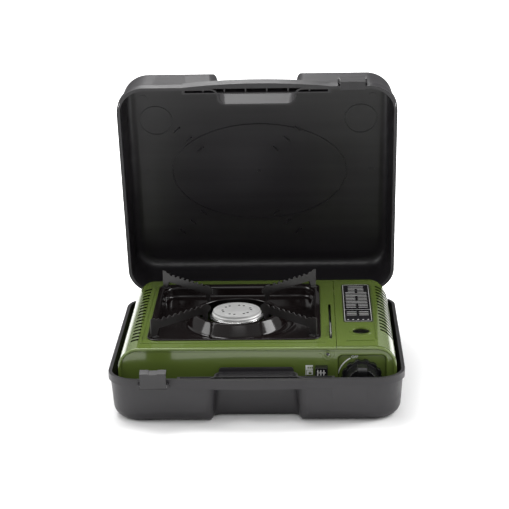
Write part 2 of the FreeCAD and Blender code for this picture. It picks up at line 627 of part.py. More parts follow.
def hood():
    part = common("hood_skin", body_skin,
                  box("hood_reach", (f"{LEFT} - 5", "seam_x"), (f"{FRONT} - 1", f"{BACK} + 1"),
                      (BOTTOM, "stove_top + 5")))
    edge = box("hood_fold", ("seam_x - sheet", "seam_x"), (f"{PANEL} + 2*sheet", f"{BACK} - sheet/2"),
               ("stove_top - fold", "stove_top - sheet/2"))
    opening = moulded("pan_opening",
                      ("pan_middle_x - pan_long/2 + pan_lip", "pan_middle_x + pan_long/2 - pan_lip"),
                      ("pan_middle_y - pan_deep/2 + pan_lip", "pan_middle_y + pan_deep/2 - pan_lip"),
                      ("stove_top - 2*sheet", "stove_top + 2"), "pan_corner")
    slots = vents("left_vent", f"({LEFT} + vent_inset)", f"({FRONT} + vent_first)", val("vent_count"))
    slot = box("tab_slot", ("rod_x + tab_skin/2 - slot_wide/2", "rod_x + tab_skin/2 + slot_wide/2"),
               ("tab_front - pusher_travel - 1", "slot_back"), ("stove_top - 2*sheet", "stove_top + 2"))
    bead_x = "pan_middle_x - pan_long/2 - bead_out"
    level = ("stove_top - sheet/2", "stove_top + bead_tall")
    beads = [
        box("bead_left", (f"{bead_x} - bead_wide/2", f"{bead_x} + bead_wide/2"),
            (f"{FRONT} + bead_inset", f"{BACK} - bead_inset"), level),
        box("bead_front", (bead_x, "seam_x - bead_stop"),
            (f"{FRONT} + bead_inset - bead_wide/2", f"{FRONT} + bead_inset + bead_wide/2"), level)]
    whole = fuse("hood_whole", part, edge, *beads)
    node("hood", cut("hood_cut", whole, opening, slot, *slots, *rear_slots("hood")))


hood()


def right_wall():
    """The fixed side below the cartridge cover, the strip behind it and the lugs of its rod."""
    across = ("seam_x + joint_gap", f"{RIGHT} + 2*sheet")
    low = box("right_low", across, (FRONT, BACK), (BOTTOM, WALL_TOP))
    strip = box("right_strip", across, (f"{BACK} - 1.8*sheet", f"{BACK} + sheet"),
                (BOTTOM, "stove_top + sheet"))
    skin = common("right_skin", body_skin, fuse("right_reach", low, strip))
    lugs = []
    half = "(cover_curl - 2*joint_gap)"
    for i, front in enumerate((ROD_FRONT, f"({ROD_BACK} - lug_wide)")):
        y = (front, f"{front} + lug_wide")
        lugs.append(rod(f"rod_lug_{i}", ("cover_axis_x", front, "cover_axis_z"), half, "lug_wide", "y"))
        lugs.append(box(f"rod_post_{i}", (f"cover_axis_x - {half}", f"cover_axis_x + {half}"), y,
                        (f"{WALL_TOP} - fold", "cover_axis_z")))
        lugs.append(box(f"rod_foot_{i}", (f"cover_axis_x - {half}", f"{RIGHT} - sheet/2"), y,
                        (f"{WALL_TOP} - fold", f"{WALL_TOP} - sheet")))
    bore = rod("rod_lug_bore", ("cover_axis_x", f"{FRONT}", "cover_axis_z"), "cover_pin_radius",
               "stove_depth", "y")
    node("right_side", cut("right_cut", fuse("right_whole", skin, *lugs), bore))


right_wall()


def front_panel():
    plate = tunnel("front_plate", (f"{LEFT} + sheet", f"{RIGHT} - sheet"), (BASE_TOP, "stove_top - sheet"),
                   f"{PANEL} + sheet", PANEL, "body_corner - sheet")
    raised = moulded("front_raised", (f"{LEFT} + front_margin", f"{RIGHT} - front_margin"),
                     (f"{BASE_TOP} + front_margin", "stove_top - front_margin"),
                     (f"-({PANEL} + sheet/2)", f"-({PANEL} - front_raise)"),
                     "emboss_round", None, "0", "XZ_Plane")
    hollow = moulded("front_hollow", (f"{LEFT} + front_margin + sheet", f"{RIGHT} - front_margin - sheet"),
                     (f"{BASE_TOP} + front_margin + sheet", "stove_top - front_margin - sheet"),
                     (f"-({PANEL} + 2*sheet)", f"-({PANEL} + sheet - front_raise)"),
                     "emboss_round - sheet", None, "0", "XZ_Plane")
    window = moulded("dish_window", ("dish_left", "dish_right"), ("dish_low", "dish_high"),
                     (f"-({PANEL} + 2*sheet)", f"-({PANEL} - 2*sheet)"), "dish_round", None, "0", "XZ_Plane")
    outer = moulded("dish_outer", ("dish_left - sheet", "dish_right + sheet"),
                    ("dish_low - sheet", "dish_high + sheet"), (f"-({DISH} + sheet)", f"-({PANEL})"),
                    "dish_round + sheet", None, "0", "XZ_Plane")
    inner = moulded("dish_inner", ("dish_left", "dish_right"), ("dish_low", "dish_high"),
                    (f"-({DISH})", f"-({PANEL} - 2*sheet)"), "dish_round", None, "0", "XZ_Plane")
    spindle_hole = rod("spindle_hole", ("knob_x", f"{PANEL} - 5*sheet", "knob_z"),
                       "spindle_radius + sheet", "dish_deep + 20*sheet", "y")
    lever_slot = box("lever_slot",
                     ("lever_x - lever_stem/2 - lever_clear", "lever_x + lever_stem/2 + lever_clear"),
                     (f"{PANEL} - 5*sheet", f"{PANEL} + 5*sheet"),
                     ("lever_top - lever_tall/2 - lever_stem - lever_travel - lever_clear",
                      "lever_top - lever_tall/2 + lever_stem + lever_clear"))
    holes = [rod(f"front_screw_hole_{i}", (x, f"{PANEL} - 5*sheet", z), "screw_shank + screw_clear",
                 "10*sheet", "y") for i, (x, z) in enumerate(FRONT_SCREWS)]
    folded = cut("front_folded", fuse("front_embossed", plate, raised), hollow)
    whole = fuse("front_whole", cut("front_windowed", folded, window), cut("dish", outer, inner))
    node("front_panel", cut("front_cut", whole, spindle_hole, lever_slot, *holes))


FRONT_SCREWS = (("screw_x", "screw_z"), (f"{LEFT} + screw_inset", f"{BOTTOM} + screw_up"),
                ("screw_low_x", f"{BOTTOM} + screw_up"))


def rear_panel():
    plate = box("rear_plate", (f"{LEFT} + rear_round", f"{RIGHT} - rear_round"),
                (f"{BACK} - 2*sheet", f"{BACK} - sheet"), (BASE_TOP, "side_top"))
    node("rear_panel", cut("rear_cut", plate, *rear_slots("rear")))


def base_plate():
    plan = moulded("base_plan", (f"{LEFT} + sheet", f"{RIGHT} - sheet"),
                   (f"{FRONT} - 2*rear_round", f"{BACK} - sheet"), (BOTTOM, BASE_TOP),
                   "rear_round - sheet")
    reach = box("base_reach", (LEFT, RIGHT), (FRONT, BACK), (f"{BOTTOM} - 1", f"{BASE_TOP} + 1"))
    plate = common("base_sheet", plan, reach)
    slots = []
    start = f"({LEFT} + base_slot_inset)"
    for i in range(int(val("base_slot_count"))):
        y = f"(pan_middle_y + ({i} - (base_slot_count - 1)/2)*base_slot_pitch)"
        slots.append(box(f"base_slot_{i}", (start, f"{start} + base_slot_long"),
                         (f"{y} - base_slot_wide/2", f"{y} + base_slot_wide/2"),
                         (f"{BOTTOM} - sheet", f"{BASE_TOP} + sheet")))
    node("base_plate", cut("base_cut", plate, *slots))


def feet():
    pads = []
    for i, (x, y) in enumerate((("-1", "-1"), ("-1", "1"), ("1", "-1"), ("1", "1"))):
        pads.append(rod(f"foot_{i}", (f"stove_x + {x}*(stove_width/2 - foot_inset)",
                                      f"stove_y + {y}*(stove_depth/2 - foot_inset)",
                                      "case_wall + foot_gap"),
                        "foot_radius", "foot_tall - foot_gap"))
    node("feet", group("four_feet", *pads))


def bay_wall():
    """The upright sheet between the burner side and the cartridge bay."""
    wall = box("bay_sheet", ("bay_wall_x", "bay_wall_x + sheet"),
               (f"{PANEL} + dish_deep + 3*sheet", f"{BACK} - 2*sheet"),
               (BASE_TOP, "stove_top - fold - sheet"))
    pipe_hole = rod("pipe_hole", ("bay_wall_x - bay_foot/2", GAS_MIDDLE, "tube_z"),
                    "pipe_radius + 2*sheet", "bay_foot", "x")
    lead_hole = rod("lead_hole", ("bay_wall_x - bay_foot/2", GAS_MIDDLE, "tube_z - lead_drop"),
                    "lead_radius + 1.5*sheet", "bay_foot", "x")
    foot = box("bay_foot_sheet", ("bay_wall_x", "bay_wall_x + bay_foot"),
               (f"{PANEL} + dish_deep + 3*sheet", f"{BACK} - 2*sheet"),
               (BASE_TOP, f"{BASE_TOP} + sheet"))
    notch = box("bay_notch", ("bay_wall_x - 1", "bay_wall_x + 2"),
                ("pusher_y - pusher_travel - 2", "pusher_y + pusher_skin + 2"),
                (f"{LINK_LOW} - 1", "stove_top"))
    node("bay_wall", cut("bay_cut", fuse("bay_whole", wall, foot), pipe_hole, lead_hole, notch))


front_panel()
rear_panel()
base_plate()
feet()
bay_wall()


def cradle():
    """The trough that the cartridge lies in."""
    start = "gas_body_back + cradle_start"
    around = "cartridge_radius + cradle_gap"
    outer = rod("cradle_outer", ("bay_x", start, "bay_z"), f"{around} + sheet", "cradle_long", "y")
    inner = rod("cradle_inner", ("bay_x", f"{start} - 1", "bay_z"), around, "cradle_long + 2", "y")
    above = box("cradle_above", (f"bay_x - 2*({around})", f"bay_x + 2*({around})"),
                (f"{start} - 1", f"{start} + cradle_long + 1"),
                ("bay_z - cradle_rim", "bay_z + 2*cartridge_radius"))
    trough = cut("cradle_trough", outer, inner, above)
    legs = []
    for i, along in enumerate(("2*cradle_leg", "cradle_long - 3*cradle_leg")):
        low = f"{start} + {along}"
        block = box(f"cradle_leg_{i}", ("bay_x - cradle_leg_half", "bay_x + cradle_leg_half"),
                    (low, f"{low} + cradle_leg"), (BASE_TOP, "bay_z - cartridge_radius + 3*sheet"))
        core = rod(f"cradle_core_{i}", ("bay_x", f"{low} - 1", "bay_z"), f"{around} + sheet/2",
                   "cradle_leg + 2", "y")
        legs.append(cut(f"cradle_saddle_{i}", block, core))
    node("cartridge_cradle", fuse("cradle_whole", trough, *legs))


cradle()


# The cover of the cartridge bay and its plate
def cover():
    front = f"{PANEL} + 1.5*sheet"
    back = COVER_BACK
    curl_front = f"({ROD_FRONT} + lug_wide + seam_gap/2)"
    curl_back = f"({ROD_BACK} - lug_wide - seam_gap/2)"
    reach = box("cover_reach", ("seam_x + seam_gap", f"{RIGHT} + 5"), (front, back),
                ("side_top + cover_low", "stove_top + 5"))
    skin = common("cover_skin", body_skin, reach)
    lip = box("cover_lip", ("seam_x + seam_gap", "seam_x + seam_gap + sheet"), (front, back),
              ("stove_top - fold", "stove_top - sheet/2"))
    curl_outer = rod("cover_curl_outer", ("cover_axis_x", curl_front, "cover_axis_z"),
                     "cover_curl", f"{curl_back} - {curl_front}", "y")
    arm = box("cover_arm", ("cover_axis_x", f"{RIGHT} - sheet/2"), (curl_front, curl_back),
              ("cover_axis_z + cover_curl - sheet", "side_top + cover_low + sheet"))
    finger = rod("finger_hole", ("finger_x", "finger_y", "stove_top - fold"), "finger_radius", "2*fold")
    level = ("stove_top - sheet/2", "stove_top + bead_tall")
    ring = cut("finger_ring",
               rod("finger_ring_outer", ("finger_x", "finger_y", "stove_top - sheet/2"),
                   "finger_radius + finger_rim", "sheet/2 + bead_tall"),
               rod("finger_ring_inner", ("finger_x", "finger_y", "stove_top - sheet"),
                   "finger_radius + sheet", "3*sheet"))
    beads = [
        box("cover_bead_front", ("seam_x + bead_stop", f"{RIGHT} - side_bead_inset - bead_wide"),
            (f"{FRONT} + bead_inset + bead_wide", f"{FRONT} + bead_inset + 2*bead_wide"), level),
        box("cover_bead_side",
            (f"{RIGHT} - side_bead_inset", f"{RIGHT} - side_bead_inset + bead_wide/2"),
            (f"{FRONT} + side_bead_short", f"{BACK} - side_bead_short"), level)]
    bore = rod("cover_bore", ("cover_axis_x", f"({front}) - 1", "cover_axis_z"),
               "cover_pin_radius + pin_clear", f"({back}) - ({front}) + 2", "y")
    slots = vents("right_vent", f"({RIGHT} - vent_inset + bead_wide)",
                  f"({BACK} - side_bead_short - (vent_count - 3)*vent_pitch)", val("vent_count") - 2,
                  skip=(4, 5, 6, 7))
    whole = fuse("cover_whole", skin, lip, curl_outer, arm, ring, *beads)
    node("cartridge_cover", cut("cover_cut", whole, bore, finger, *slots))
    node("cover_rod", rod("cover_hinge_rod", ("cover_axis_x", ROD_FRONT, "cover_axis_z"),
                          "cover_pin_radius", f"{ROD_BACK} - ({ROD_FRONT})", "y"))
    plate = moulded("cover_plate_blank", ("plate_left", "plate_left + plate_wide"),
                    ("plate_front", "plate_back"), ("stove_top", "stove_top + plate_skin"), "plate_corner")
    node("cover_plate", plate)


cover()


# Drip pan, pan supports and burner
PAN_TOP = "stove_top + pan_skin"
WELL = "stove_top - well_drop"
SLOPE = "((crown_foot - crown_radius)/(crown_top - stove_top + well_drop))"


def at_burner(z):
    return ("pan_middle_x", "pan_middle_y", z)


def pan_block(tag, shrink, low, high, corner):
    half_x = f"pan_long/2 - ({shrink})"
    half_y = f"pan_deep/2 - ({shrink})"
    return moulded(tag, (f"pan_middle_x - ({half_x})", f"pan_middle_x + ({half_x})"),
                   (f"pan_middle_y - ({half_y})", f"pan_middle_y + ({half_y})"), (low, high), corner)


def drip_pan():
    inset = "(pan_lip + pan_wall)"
    flange = pan_block("pan_flange", "0", "stove_top", PAN_TOP, "pan_corner")
    well = pan_block("pan_well", inset, WELL, PAN_TOP, "well_corner")
    hollow = pan_block("pan_well_hollow", f"{inset} + pan_skin", f"{WELL} + pan_skin",
                       f"{PAN_TOP} + 1", "well_corner - pan_skin")
    crown = cone("pan_crown", at_burner(WELL), "crown_foot", "crown_radius", f"crown_top - ({WELL})")
    crown_room = cone("pan_crown_room", at_burner(f"{WELL} - 1"), f"crown_foot + {SLOPE} - 1.2*pan_skin",
                      f"crown_radius + {SLOPE}*pan_skin - 1.2*pan_skin",
                      f"crown_top - pan_skin + 1 - ({WELL})")
    hole = rod("pan_centre_hole", at_burner(WELL), "pan_hole", "2*well_drop")
    shell = cut("pan_shell", fuse("pan_solid", flange, well), hollow)
    node("drip_pan", cut("pan_cut", fuse("pan_whole", shell, crown), crown_room, hole))


def stay(name, turn):
    """One upright toothed strip that carries the pot, on a foot at each end."""
    inner = val("stay_inner")
    outer = val("stay_outer")
    top = val("stay_top")
    skin = val("stay_skin")
    tall = val("stay_tall")
    clear = val("stay_clear")
    low = top - tall
    flange = val("stove_top") + val("pan_skin")
    seat = flange + clear
    rim = val("crown_top") + clear
    horn = val("stay_horn")
    foot_start = val("pan_hole") + clear
    foot_end = val("crown_radius") + clear
    tab = val("stay_tab")
    points = [V(foot_start, 0, rim), V(foot_end, 0, rim), V(foot_end + tall / 3, 0, low),
              V(outer - val("stay_foot"), 0, low), V(outer - tab, 0, seat), V(outer, 0, seat),
              V(outer, 0, top + horn), V(outer - val("stay_horn_wide"), 0, top + horn),
              V(outer - val("stay_horn_wide") - horn, 0, top), V(inner + tall / 2, 0, top),
              V(inner, 0, top - tall / 3), V(inner, 0, low + tall / 4), V(foot_start, 0, low)]
    plate = Part.Face(Part.makePolygon(points + points[:1])).extrude(V(0, skin, 0))
    plate.translate(V(0, -skin / 2, 0))
    teeth = int(val("stay_teeth"))
    first = inner + tall
    pitch = (outer - tall - first) / teeth
    for i in range(teeth):
        at = V(first + pitch * (i + 0.5), -2 * skin, top + val("tooth_rise"))
        plate = plate.cut(Part.makeCylinder(pitch * val("tooth_share"), 4 * skin, at, V(0, 1, 0)))
    corner = V(outer - tab - 1, -tab / 2, flange + val("seat_gap"))
    foot = Part.makeBox(tab, tab, val("stay_tab_skin"), corner)
    plate = plate.fuse(foot).removeSplitter()
    item = node(name, from_code(name + "_shape", plate))
    item.Placement = FreeCAD.Placement(
        V(val("pan_middle_x"), val("pan_middle_y"), 0), FreeCAD.Rotation(V(0, 0, 1), turn))


drip_pan()
for index, turn in enumerate((45, 135, 225, 315), start=1):
    stay(f"pan_support_{index}", turn)


def burner():
    floor = "head_floor"
    rim = "(cap_top - cap_tall - ring_tall)"
    neck = "(tube_z + tube_radius - 2*head_skin)"
    pit = "(tube_z - tube_radius - 1.5*head_skin)"
    head = fuse("head_solid",
                rod("head_cup", at_burner(floor), "head_radius", f"{rim} - {floor}"),
                cone("head_funnel", at_burner(neck), "neck_radius", "head_radius", f"{floor} - {neck}"),
                rod("head_neck", at_burner(pit), "neck_radius", f"{neck} - {pit} + head_skin"))
    hollow = fuse("head_hollow",
                  rod("head_room", at_burner(floor), "head_radius - head_skin", "head_radius"),
                  cone("head_throat", at_burner(neck), "neck_radius - head_skin", "head_radius - head_skin",
                       f"{floor} - {neck}"),
                  rod("head_well", at_burner(f"{pit} + head_skin"), "neck_radius - head_skin",
                      "2*tube_radius"))
    entry = rod("head_entry", at_burner("tube_z"), "tube_radius + pin_clear", "3*neck_radius", "x")
    node("burner_head", cut("head_cut", head, hollow, entry))
    ring = cut("ring_cut",
               fuse("ring_solid",
                    rod("ring_flat", at_burner(rim), "ring_radius", "ring_tall - cap_step"),
                    cone("ring_cone", at_burner(f"{rim} + ring_tall - cap_step"), "ring_radius",
                         "ring_radius - 2*cap_step", "cap_step")),
               rod("ring_hole", at_burner(f"{rim} - 1"), "head_radius - 2*head_skin", "ring_tall + 2"))
    node("burner_ring", ring)
    cap_low = f"({rim} + ring_tall)"
    cap = fuse("cap_solid",
               rod("cap_skirt", at_burner(cap_low), "cap_radius", "cap_step + 0.5"),
               rod("cap_disc", at_burner(f"{cap_low} + cap_step"), "cap_radius - cap_step",
                   f"cap_top - {cap_low} - cap_step"))
    under = rod("cap_under", at_burner(f"{cap_low} - 1"), "head_radius - 2.5*head_skin", "cap_tall/2 + 0.5")
    ports = []
    count = int(val("cap_ports"))
    for i in range(count):
        for j, shift in enumerate((-1, 1)):
            angle = f"({i}*360/{count} + {shift}*port_spread)"
            ports.append(rod(f"cap_port_{i}_{j}",
                             (f"pan_middle_x + 0.7*cap_radius*cos({angle})",
                              f"pan_middle_y + 0.7*cap_radius*sin({angle})", rim),
                             "port_radius", "4*cap_tall"))
    node("burner_cap", cut("cap_cut", cap, under, *ports))
    start = "(pan_middle_x + neck_radius - cap_step)"
    long = f"(bay_wall_x - tube_stop - {start})"
    tube = cut("mixing_cut",
               fuse("mixing_solid",
                    rod("mixing_outer", (start, "pan_middle_y", "tube_z"), "tube_radius", long, "x"),
                    rod("mixing_collar", (f"{start} + {long} - tube_collar", "pan_middle_y", "tube_z"),
                        "tube_radius + tube_skin", "tube_collar", "x")),
               rod("mixing_inner", (f"{start} - 1", "pan_middle_y", "tube_z"),
                   "tube_radius - tube_skin", f"{long} + 2", "x"),
               rod("mixing_air",
                   (f"{start} + {long} - tube_collar/2", "pan_middle_y - 2*tube_radius", "tube_z"),
                   "air_hole", "4*tube_radius", "y"))
    node("mixing_tube", tube)


burner()


def burner_bracket():
    """The bridge that holds the burner head above the base."""
    deck = "(tube_z - tube_radius - 1.5*head_skin)"
    reach = "(neck_radius + bracket_reach)"
    y = ("pan_middle_y - bracket_half", "pan_middle_y + bracket_half")
    parts = [box("bracket_top", (f"pan_middle_x - {reach}", f"pan_middle_x + {reach}"), y,
                 (f"{deck} - bracket_skin", deck))]
    for i, side in enumerate(("-1", "1")):
        leg = f"(pan_middle_x + {side}*({reach} - bracket_skin/2))"
        parts.append(box(f"bracket_leg_{i}", (f"{leg} - bracket_skin/2", f"{leg} + bracket_skin/2"), y,
                         (BASE_TOP, deck)))
        foot = f"(pan_middle_x + {side}*({reach} - bracket_skin + bracket_foot/2))"
        parts.append(box(f"bracket_foot_{i}", (f"{foot} - bracket_foot/2", f"{foot} + bracket_foot/2"), y,
                         (BASE_TOP, f"{BASE_TOP} + bracket_skin")))
    node("burner_bracket", fuse("bracket_whole", *parts))


burner_bracket()


# Gas train between the cartridge and the burner
GAS_TOP = "(bay_z + gas_body_tall/2)"
GAS_LOW = "(bay_z - gas_body_tall/2)"


def gas_train():
    block = box("gas_block", ("bay_x - gas_body_wide/2", "bay_x + gas_body_wide/2"),
                (GAS_FRONT, "gas_body_back"), (GAS_LOW, GAS_TOP))
    gland = rod("gas_gland", ("knob_x", f"{GAS_FRONT} - gland_long", "knob_z"), "gland_radius",
                "gland_long + 1", "y")
    inlet = rod("gas_inlet", ("bay_x", GAS_MIDDLE, "bay_z"), "inlet_radius", "gas_body_deep", "y")
    seal_seat = rod("gas_seal_seat", ("bay_x", "gas_body_back - 2*seal_radius", "bay_z"),
                    "seal_ring + seal_radius + spindle_clear", "4*seal_radius", "y")
    bore = rod("gas_spindle_bore", ("knob_x", f"{GAS_FRONT} - gland_long - 1", "knob_z"),
               "spindle_radius + spindle_clear", "2*gland_long + 1", "y")
    outlet = rod("gas_outlet", ("bay_x - gas_body_wide/2 - 1", GAS_MIDDLE, "tube_z"),
                 "pipe_radius", "pipe_reach + 1", "x")
    foot = box("gas_foot_block", ("bay_x - gas_foot", "bay_x + gas_foot"),
               (f"{GAS_FRONT} + gas_foot/2", "gas_body_back - gas_foot/2"),
               (f"{BASE_TOP} + foot_gap", f"{GAS_LOW} + 1"))
    node("regulator_body", cut("gas_cut", fuse("gas_whole", block, gland, foot),
                               inlet, seal_seat, bore, outlet))
    node("regulator_cap",
         fuse("diaphragm",
              rod("diaphragm_rim", ("bay_x", GAS_MIDDLE, GAS_TOP), "diaphragm_radius", "diaphragm_tall"),
              rod("diaphragm_top", ("bay_x", GAS_MIDDLE, f"{GAS_TOP} + diaphragm_tall"),
                  "diaphragm_boss", "diaphragm_tall")))
    socket = cut("socket_cut",
                 rod("socket_outer", ("bay_x", "gas_body_back", "bay_z"), "socket_radius",
                     "socket_deep", "y"),
                 rod("socket_inner", ("bay_x", "gas_body_back - 1", "bay_z"), "socket_bore",
                     "socket_deep + 2", "y"),
                 box("socket_key_gap", ("bay_x - socket_key/2", "bay_x + socket_key/2"),
                     ("gas_body_back + socket_deep/2", "gas_body_back + socket_deep + 1"),
                     ("bay_z", "bay_z + 2*socket_radius")))
    node("cartridge_socket", socket)
    seal = doc.addObject("Part::Torus", "socket_seal_ring")
    seal.Placement.Rotation = TURNS["y"]
    bind(seal, "Radius1", "seal_ring")
    bind(seal, "Radius2", "seal_radius")
    place_at(seal, ("bay_x", "gas_body_back - seal_radius", "bay_z"))
    node("socket_seal", seal)
    shaft = "(knob_front + spindle_start)"
    node("valve_spindle", rod("spindle_shaft", ("knob_x", shaft, "knob_z"), "spindle_radius",
                              f"{GAS_FRONT} + gland_long - {shaft}", "y"))
    igniter_x = "(bay_x + igniter_out)"
    igniter_z = f"({GAS_LOW} - igniter_radius)"
    igniter = fuse("igniter_whole",
                   rod("igniter_case", (igniter_x, IGNITER_FRONT, igniter_z), "igniter_radius",
                       "igniter_long", "y"),
                   rod("igniter_plunger", (igniter_x, f"{IGNITER_FRONT} - plunger_long", igniter_z),
                       "plunger_radius", "plunger_long + 1", "y"))
    node("piezo_igniter", igniter)


def gas_pipe():
    gas_y = measure(GAS_MIDDLE)
    burner_y = val("pan_middle_y")
    z = val("tube_z")
    bend = val("pipe_bend")
    start = val("bay_x") - val("gas_body_wide") / 2 + val("pipe_reach")
    turn = val("bay_wall_x") - 11
    tip = turn - bend - 3
    points = [V(start, gas_y, z), V(turn, gas_y, z), V(turn, burner_y, z), V(tip, burner_y, z)]
    node("gas_pipe", bent(points, bend, val("pipe_radius"), "pipe_run", val("pipe_skin")))
    jet = cut("jet_cut",
              fuse("jet_solid",
                   rod("jet_hex", (f"{tip} - jet_body", "pan_middle_y", "tube_z"), "jet_radius",
                       "jet_body", "x"),
                   rod("jet_tip", (f"{tip} - jet_body - jet_nose", "pan_middle_y", "tube_z"),
                       "jet_radius - 2*pipe_skin", "jet_nose", "x")),
              rod("jet_bore", (f"{tip} - jet_body - jet_nose - 1", "pan_middle_y", "tube_z"), "jet_hole",
                  "jet_body + jet_nose + 2", "x"))
    node("gas_jet", jet)


gas_train()
gas_pipe()


def ignition():
    """The spark electrode beside the burner, its bracket and its lead."""
    x = "(pan_middle_x + electrode_turn*cos(electrode_angle))"
    y = "(pan_middle_y + electrode_turn*sin(electrode_angle))"
    low = "electrode_low"
    ceramic = rod("electrode_ceramic", (x, y, low), "electrode_radius", "electrode_long")
    needle = rod("electrode_needle", (x, y, f"{low} - needle_out"), "needle_radius",
                 "electrode_long + 2*needle_out")
    node("spark_electrode", fuse("electrode_whole", ceramic, needle))
    across = (f"{x} - holder_half", f"{x} + holder_half")
    back = f"({y} + holder_half - 1)"
    strip = box("electrode_strip", across, (f"{y} - holder_half + 1", back),
                (f"{low} - holder_skin - 0.5", f"{low} - 0.5"))
    leg = box("electrode_leg", across, (back, f"{back} + holder_skin"), (BASE_TOP, f"{low} - 0.5"))
    foot = box("electrode_foot", across, (back, f"{back} + holder_foot"),
               (BASE_TOP, f"{BASE_TOP} + holder_skin"))
    through = rod("electrode_through", (x, y, f"{low} - 2*needle_out"), "2*needle_radius - 0.1",
                  "4*needle_out")
    node("electrode_bracket", cut("electrode_cut", fuse("electrode_holder", strip, leg, foot), through))
    at_x = measure(x)
    at_y = measure(y)
    lead_z = val("tube_z") - val("lead_drop")
    gas_y = measure(GAS_MIDDLE)
    igniter_x = val("bay_x") + val("igniter_out")
    igniter_z = measure(f"{GAS_LOW} - igniter_radius")
    igniter_back = measure(f"{IGNITER_FRONT} + igniter_long")
    loop_y = igniter_back + 2 * val("needle_out")
    loop_x = val("bay_x") - val("gas_body_wide") / 2 - val("gas_foot")
    points = [V(igniter_x, igniter_back, igniter_z), V(igniter_x, loop_y, igniter_z),
              V(loop_x, loop_y, igniter_z), V(loop_x, gas_y, lead_z), V(at_x, gas_y, lead_z),
              V(at_x, at_y, lead_z), V(at_x, at_y, val("electrode_low") - val("needle_out"))]
    node("ignition_lead", bent(points, val("lead_bend"), val("lead_radius"), "lead_run"))


ignition()


# Knob and lock lever on the front
def knob():
    face = "(knob_front + knob_face)"
    base = f"({DISH} - sheet - knob_skirt)"
    skirt = rod("knob_skirt_disc", ("knob_x", base, "knob_z"), "knob_radius", "knob_skirt", "y")
    hub = cone("knob_hub", ("knob_x", face, "knob_z"), "knob_radius - hub_inset",
               "knob_radius - hub_inset + hub_draft", f"{base} - {face} + 0.5", "y")
    grip = moulded("knob_grip", ("knob_x - grip_wide/2", "knob_x + grip_wide/2"),
                   ("knob_z - grip_long/2", "knob_z + grip_long/2"),
                   (f"-{base}", "-(knob_front)"), None, None, "0", "XZ_Plane")
    flutes = []
    count = int(val("knob_flutes"))
    for i in range(count):
        angle = f"(({i} + 0.5)*360/{count})"
        flutes.append(rod(f"knob_flute_{i}",
                          (f"knob_x + (knob_radius + flute_out)*cos({angle})", f"{base} - 1",
                           f"knob_z + (knob_radius + flute_out)*sin({angle})"),
                          "flute_radius", "knob_skirt + 2", "y"))
    socket = rod("knob_socket", ("knob_x", "knob_front + spindle_start", "knob_z"), "spindle_radius",
                 "2*knob_radius", "y")
    node("knob", cut("knob_cut", fuse("knob_whole", skirt, hub, grip), socket, *flutes))


def lever():
    low = "(lever_top - lever_tall)"
    middle = "(lever_top - lever_tall/2)"
    behind = f"({PANEL} + sheet)"
    block = moulded("lever_block", ("lever_x - lever_wide/2", "lever_x + lever_wide/2"),
                    (low, "lever_top"), (f"-({FACE} - lever_clear)", f"-({FACE} - lever_out)"),
                    None, None, "0", "XZ_Plane")
    stem = box("lever_stem_bar", ("lever_x - lever_stem/2", "lever_x + lever_stem/2"),
               (f"{FACE} - sheet", f"{behind} + sheet"),
               (f"{middle} - lever_stem", f"{middle} + lever_stem"))
    plate = box("lever_back_sheet", ("lever_x - lever_back", "lever_x + lever_back"),
                (f"{behind} + lever_clear", f"{behind} + lever_clear + lever_plate"),
                (f"{low} - 2.5*lever_stem", "lever_top + lever_stem"))
    node("lock_lever", fuse("lever_whole", block, stem, plate))
    rails = []
    for i, side in enumerate(("-1", "1")):
        x = f"(lever_x + {side}*guide_out)"
        rails.append(box(f"guide_rail_{i}", (f"{x} - guide_half", f"{x} + guide_half"),
                         (behind, f"{behind} + guide_deep"),
                         (f"{BASE_TOP} + 3*sheet", "lever_top + 1.75*lever_stem")))
    bridge = box("guide_bridge", ("lever_x - guide_out - guide_half", "lever_x + guide_out + guide_half"),
                 (f"{behind} + 2*lever_clear + lever_plate", f"{behind} + guide_deep"),
                 (f"{low} - 3*lever_stem", "lever_top + 1.75*lever_stem"))
    node("lever_guide", fuse("guide_whole", *rails, bridge))
    edge = "(lever_x - lever_wide/2 - label_gap)"
    node("lever_plate", box("label_sheet", (f"{edge} - label_wide", edge),
                            (f"{FACE} - label_skin", FACE),
                            ("lever_top - label_tall", "lever_top")))


knob()
lever()


def pusher():
    """The sliding stop behind the cartridge, its rod and the tab in the top slot."""
    y = ("pusher_y", "pusher_y + pusher_skin")
    plate = box("pusher_face", ("bay_x - pusher_half", "bay_x + pusher_half"), y,
                (f"{BASE_TOP} + pusher_gap", "bay_z + pusher_half + 4*sheet"))
    link = box("pusher_link", ("rod_x + tab_skin", "bay_x - pusher_half + 4*sheet"), y,
               (LINK_LOW, f"{LINK_LOW} + rod_tall"))
    shoe = box("pusher_shoe_sheet", ("bay_x - pusher_half", "bay_x + pusher_half"),
               ("pusher_y", "pusher_y + pusher_shoe"),
               (f"{BASE_TOP} + pusher_gap", f"{BASE_TOP} + pusher_gap + pusher_skin"))
    hole = rod("pusher_window", ("bay_x", "pusher_y - 1", "bay_z + 6*sheet"), "pusher_hole",
               "pusher_skin + 2", "y")
    node("cartridge_pusher", cut("pusher_cut", fuse("pusher_whole", plate, link, shoe), hole))


def push_rod():
    bar = box("rod_bar", ("rod_x", "rod_x + tab_skin"), ("tab_front - 4*sheet", "pusher_y + pusher_skin"),
              (LINK_LOW, f"{LINK_LOW} + rod_tall"))
    tab = moulded("tab_blade", ("tab_front", "tab_front + tab_long"),
                  (f"{LINK_LOW} + rod_tall/2", "stove_top + tab_proud"), ("rod_x", "rod_x + tab_skin"),
                  None, None, "0", "YZ_Plane")
    node("interlock_tab", fuse("tab_whole", bar, tab))


pusher()
push_rod()


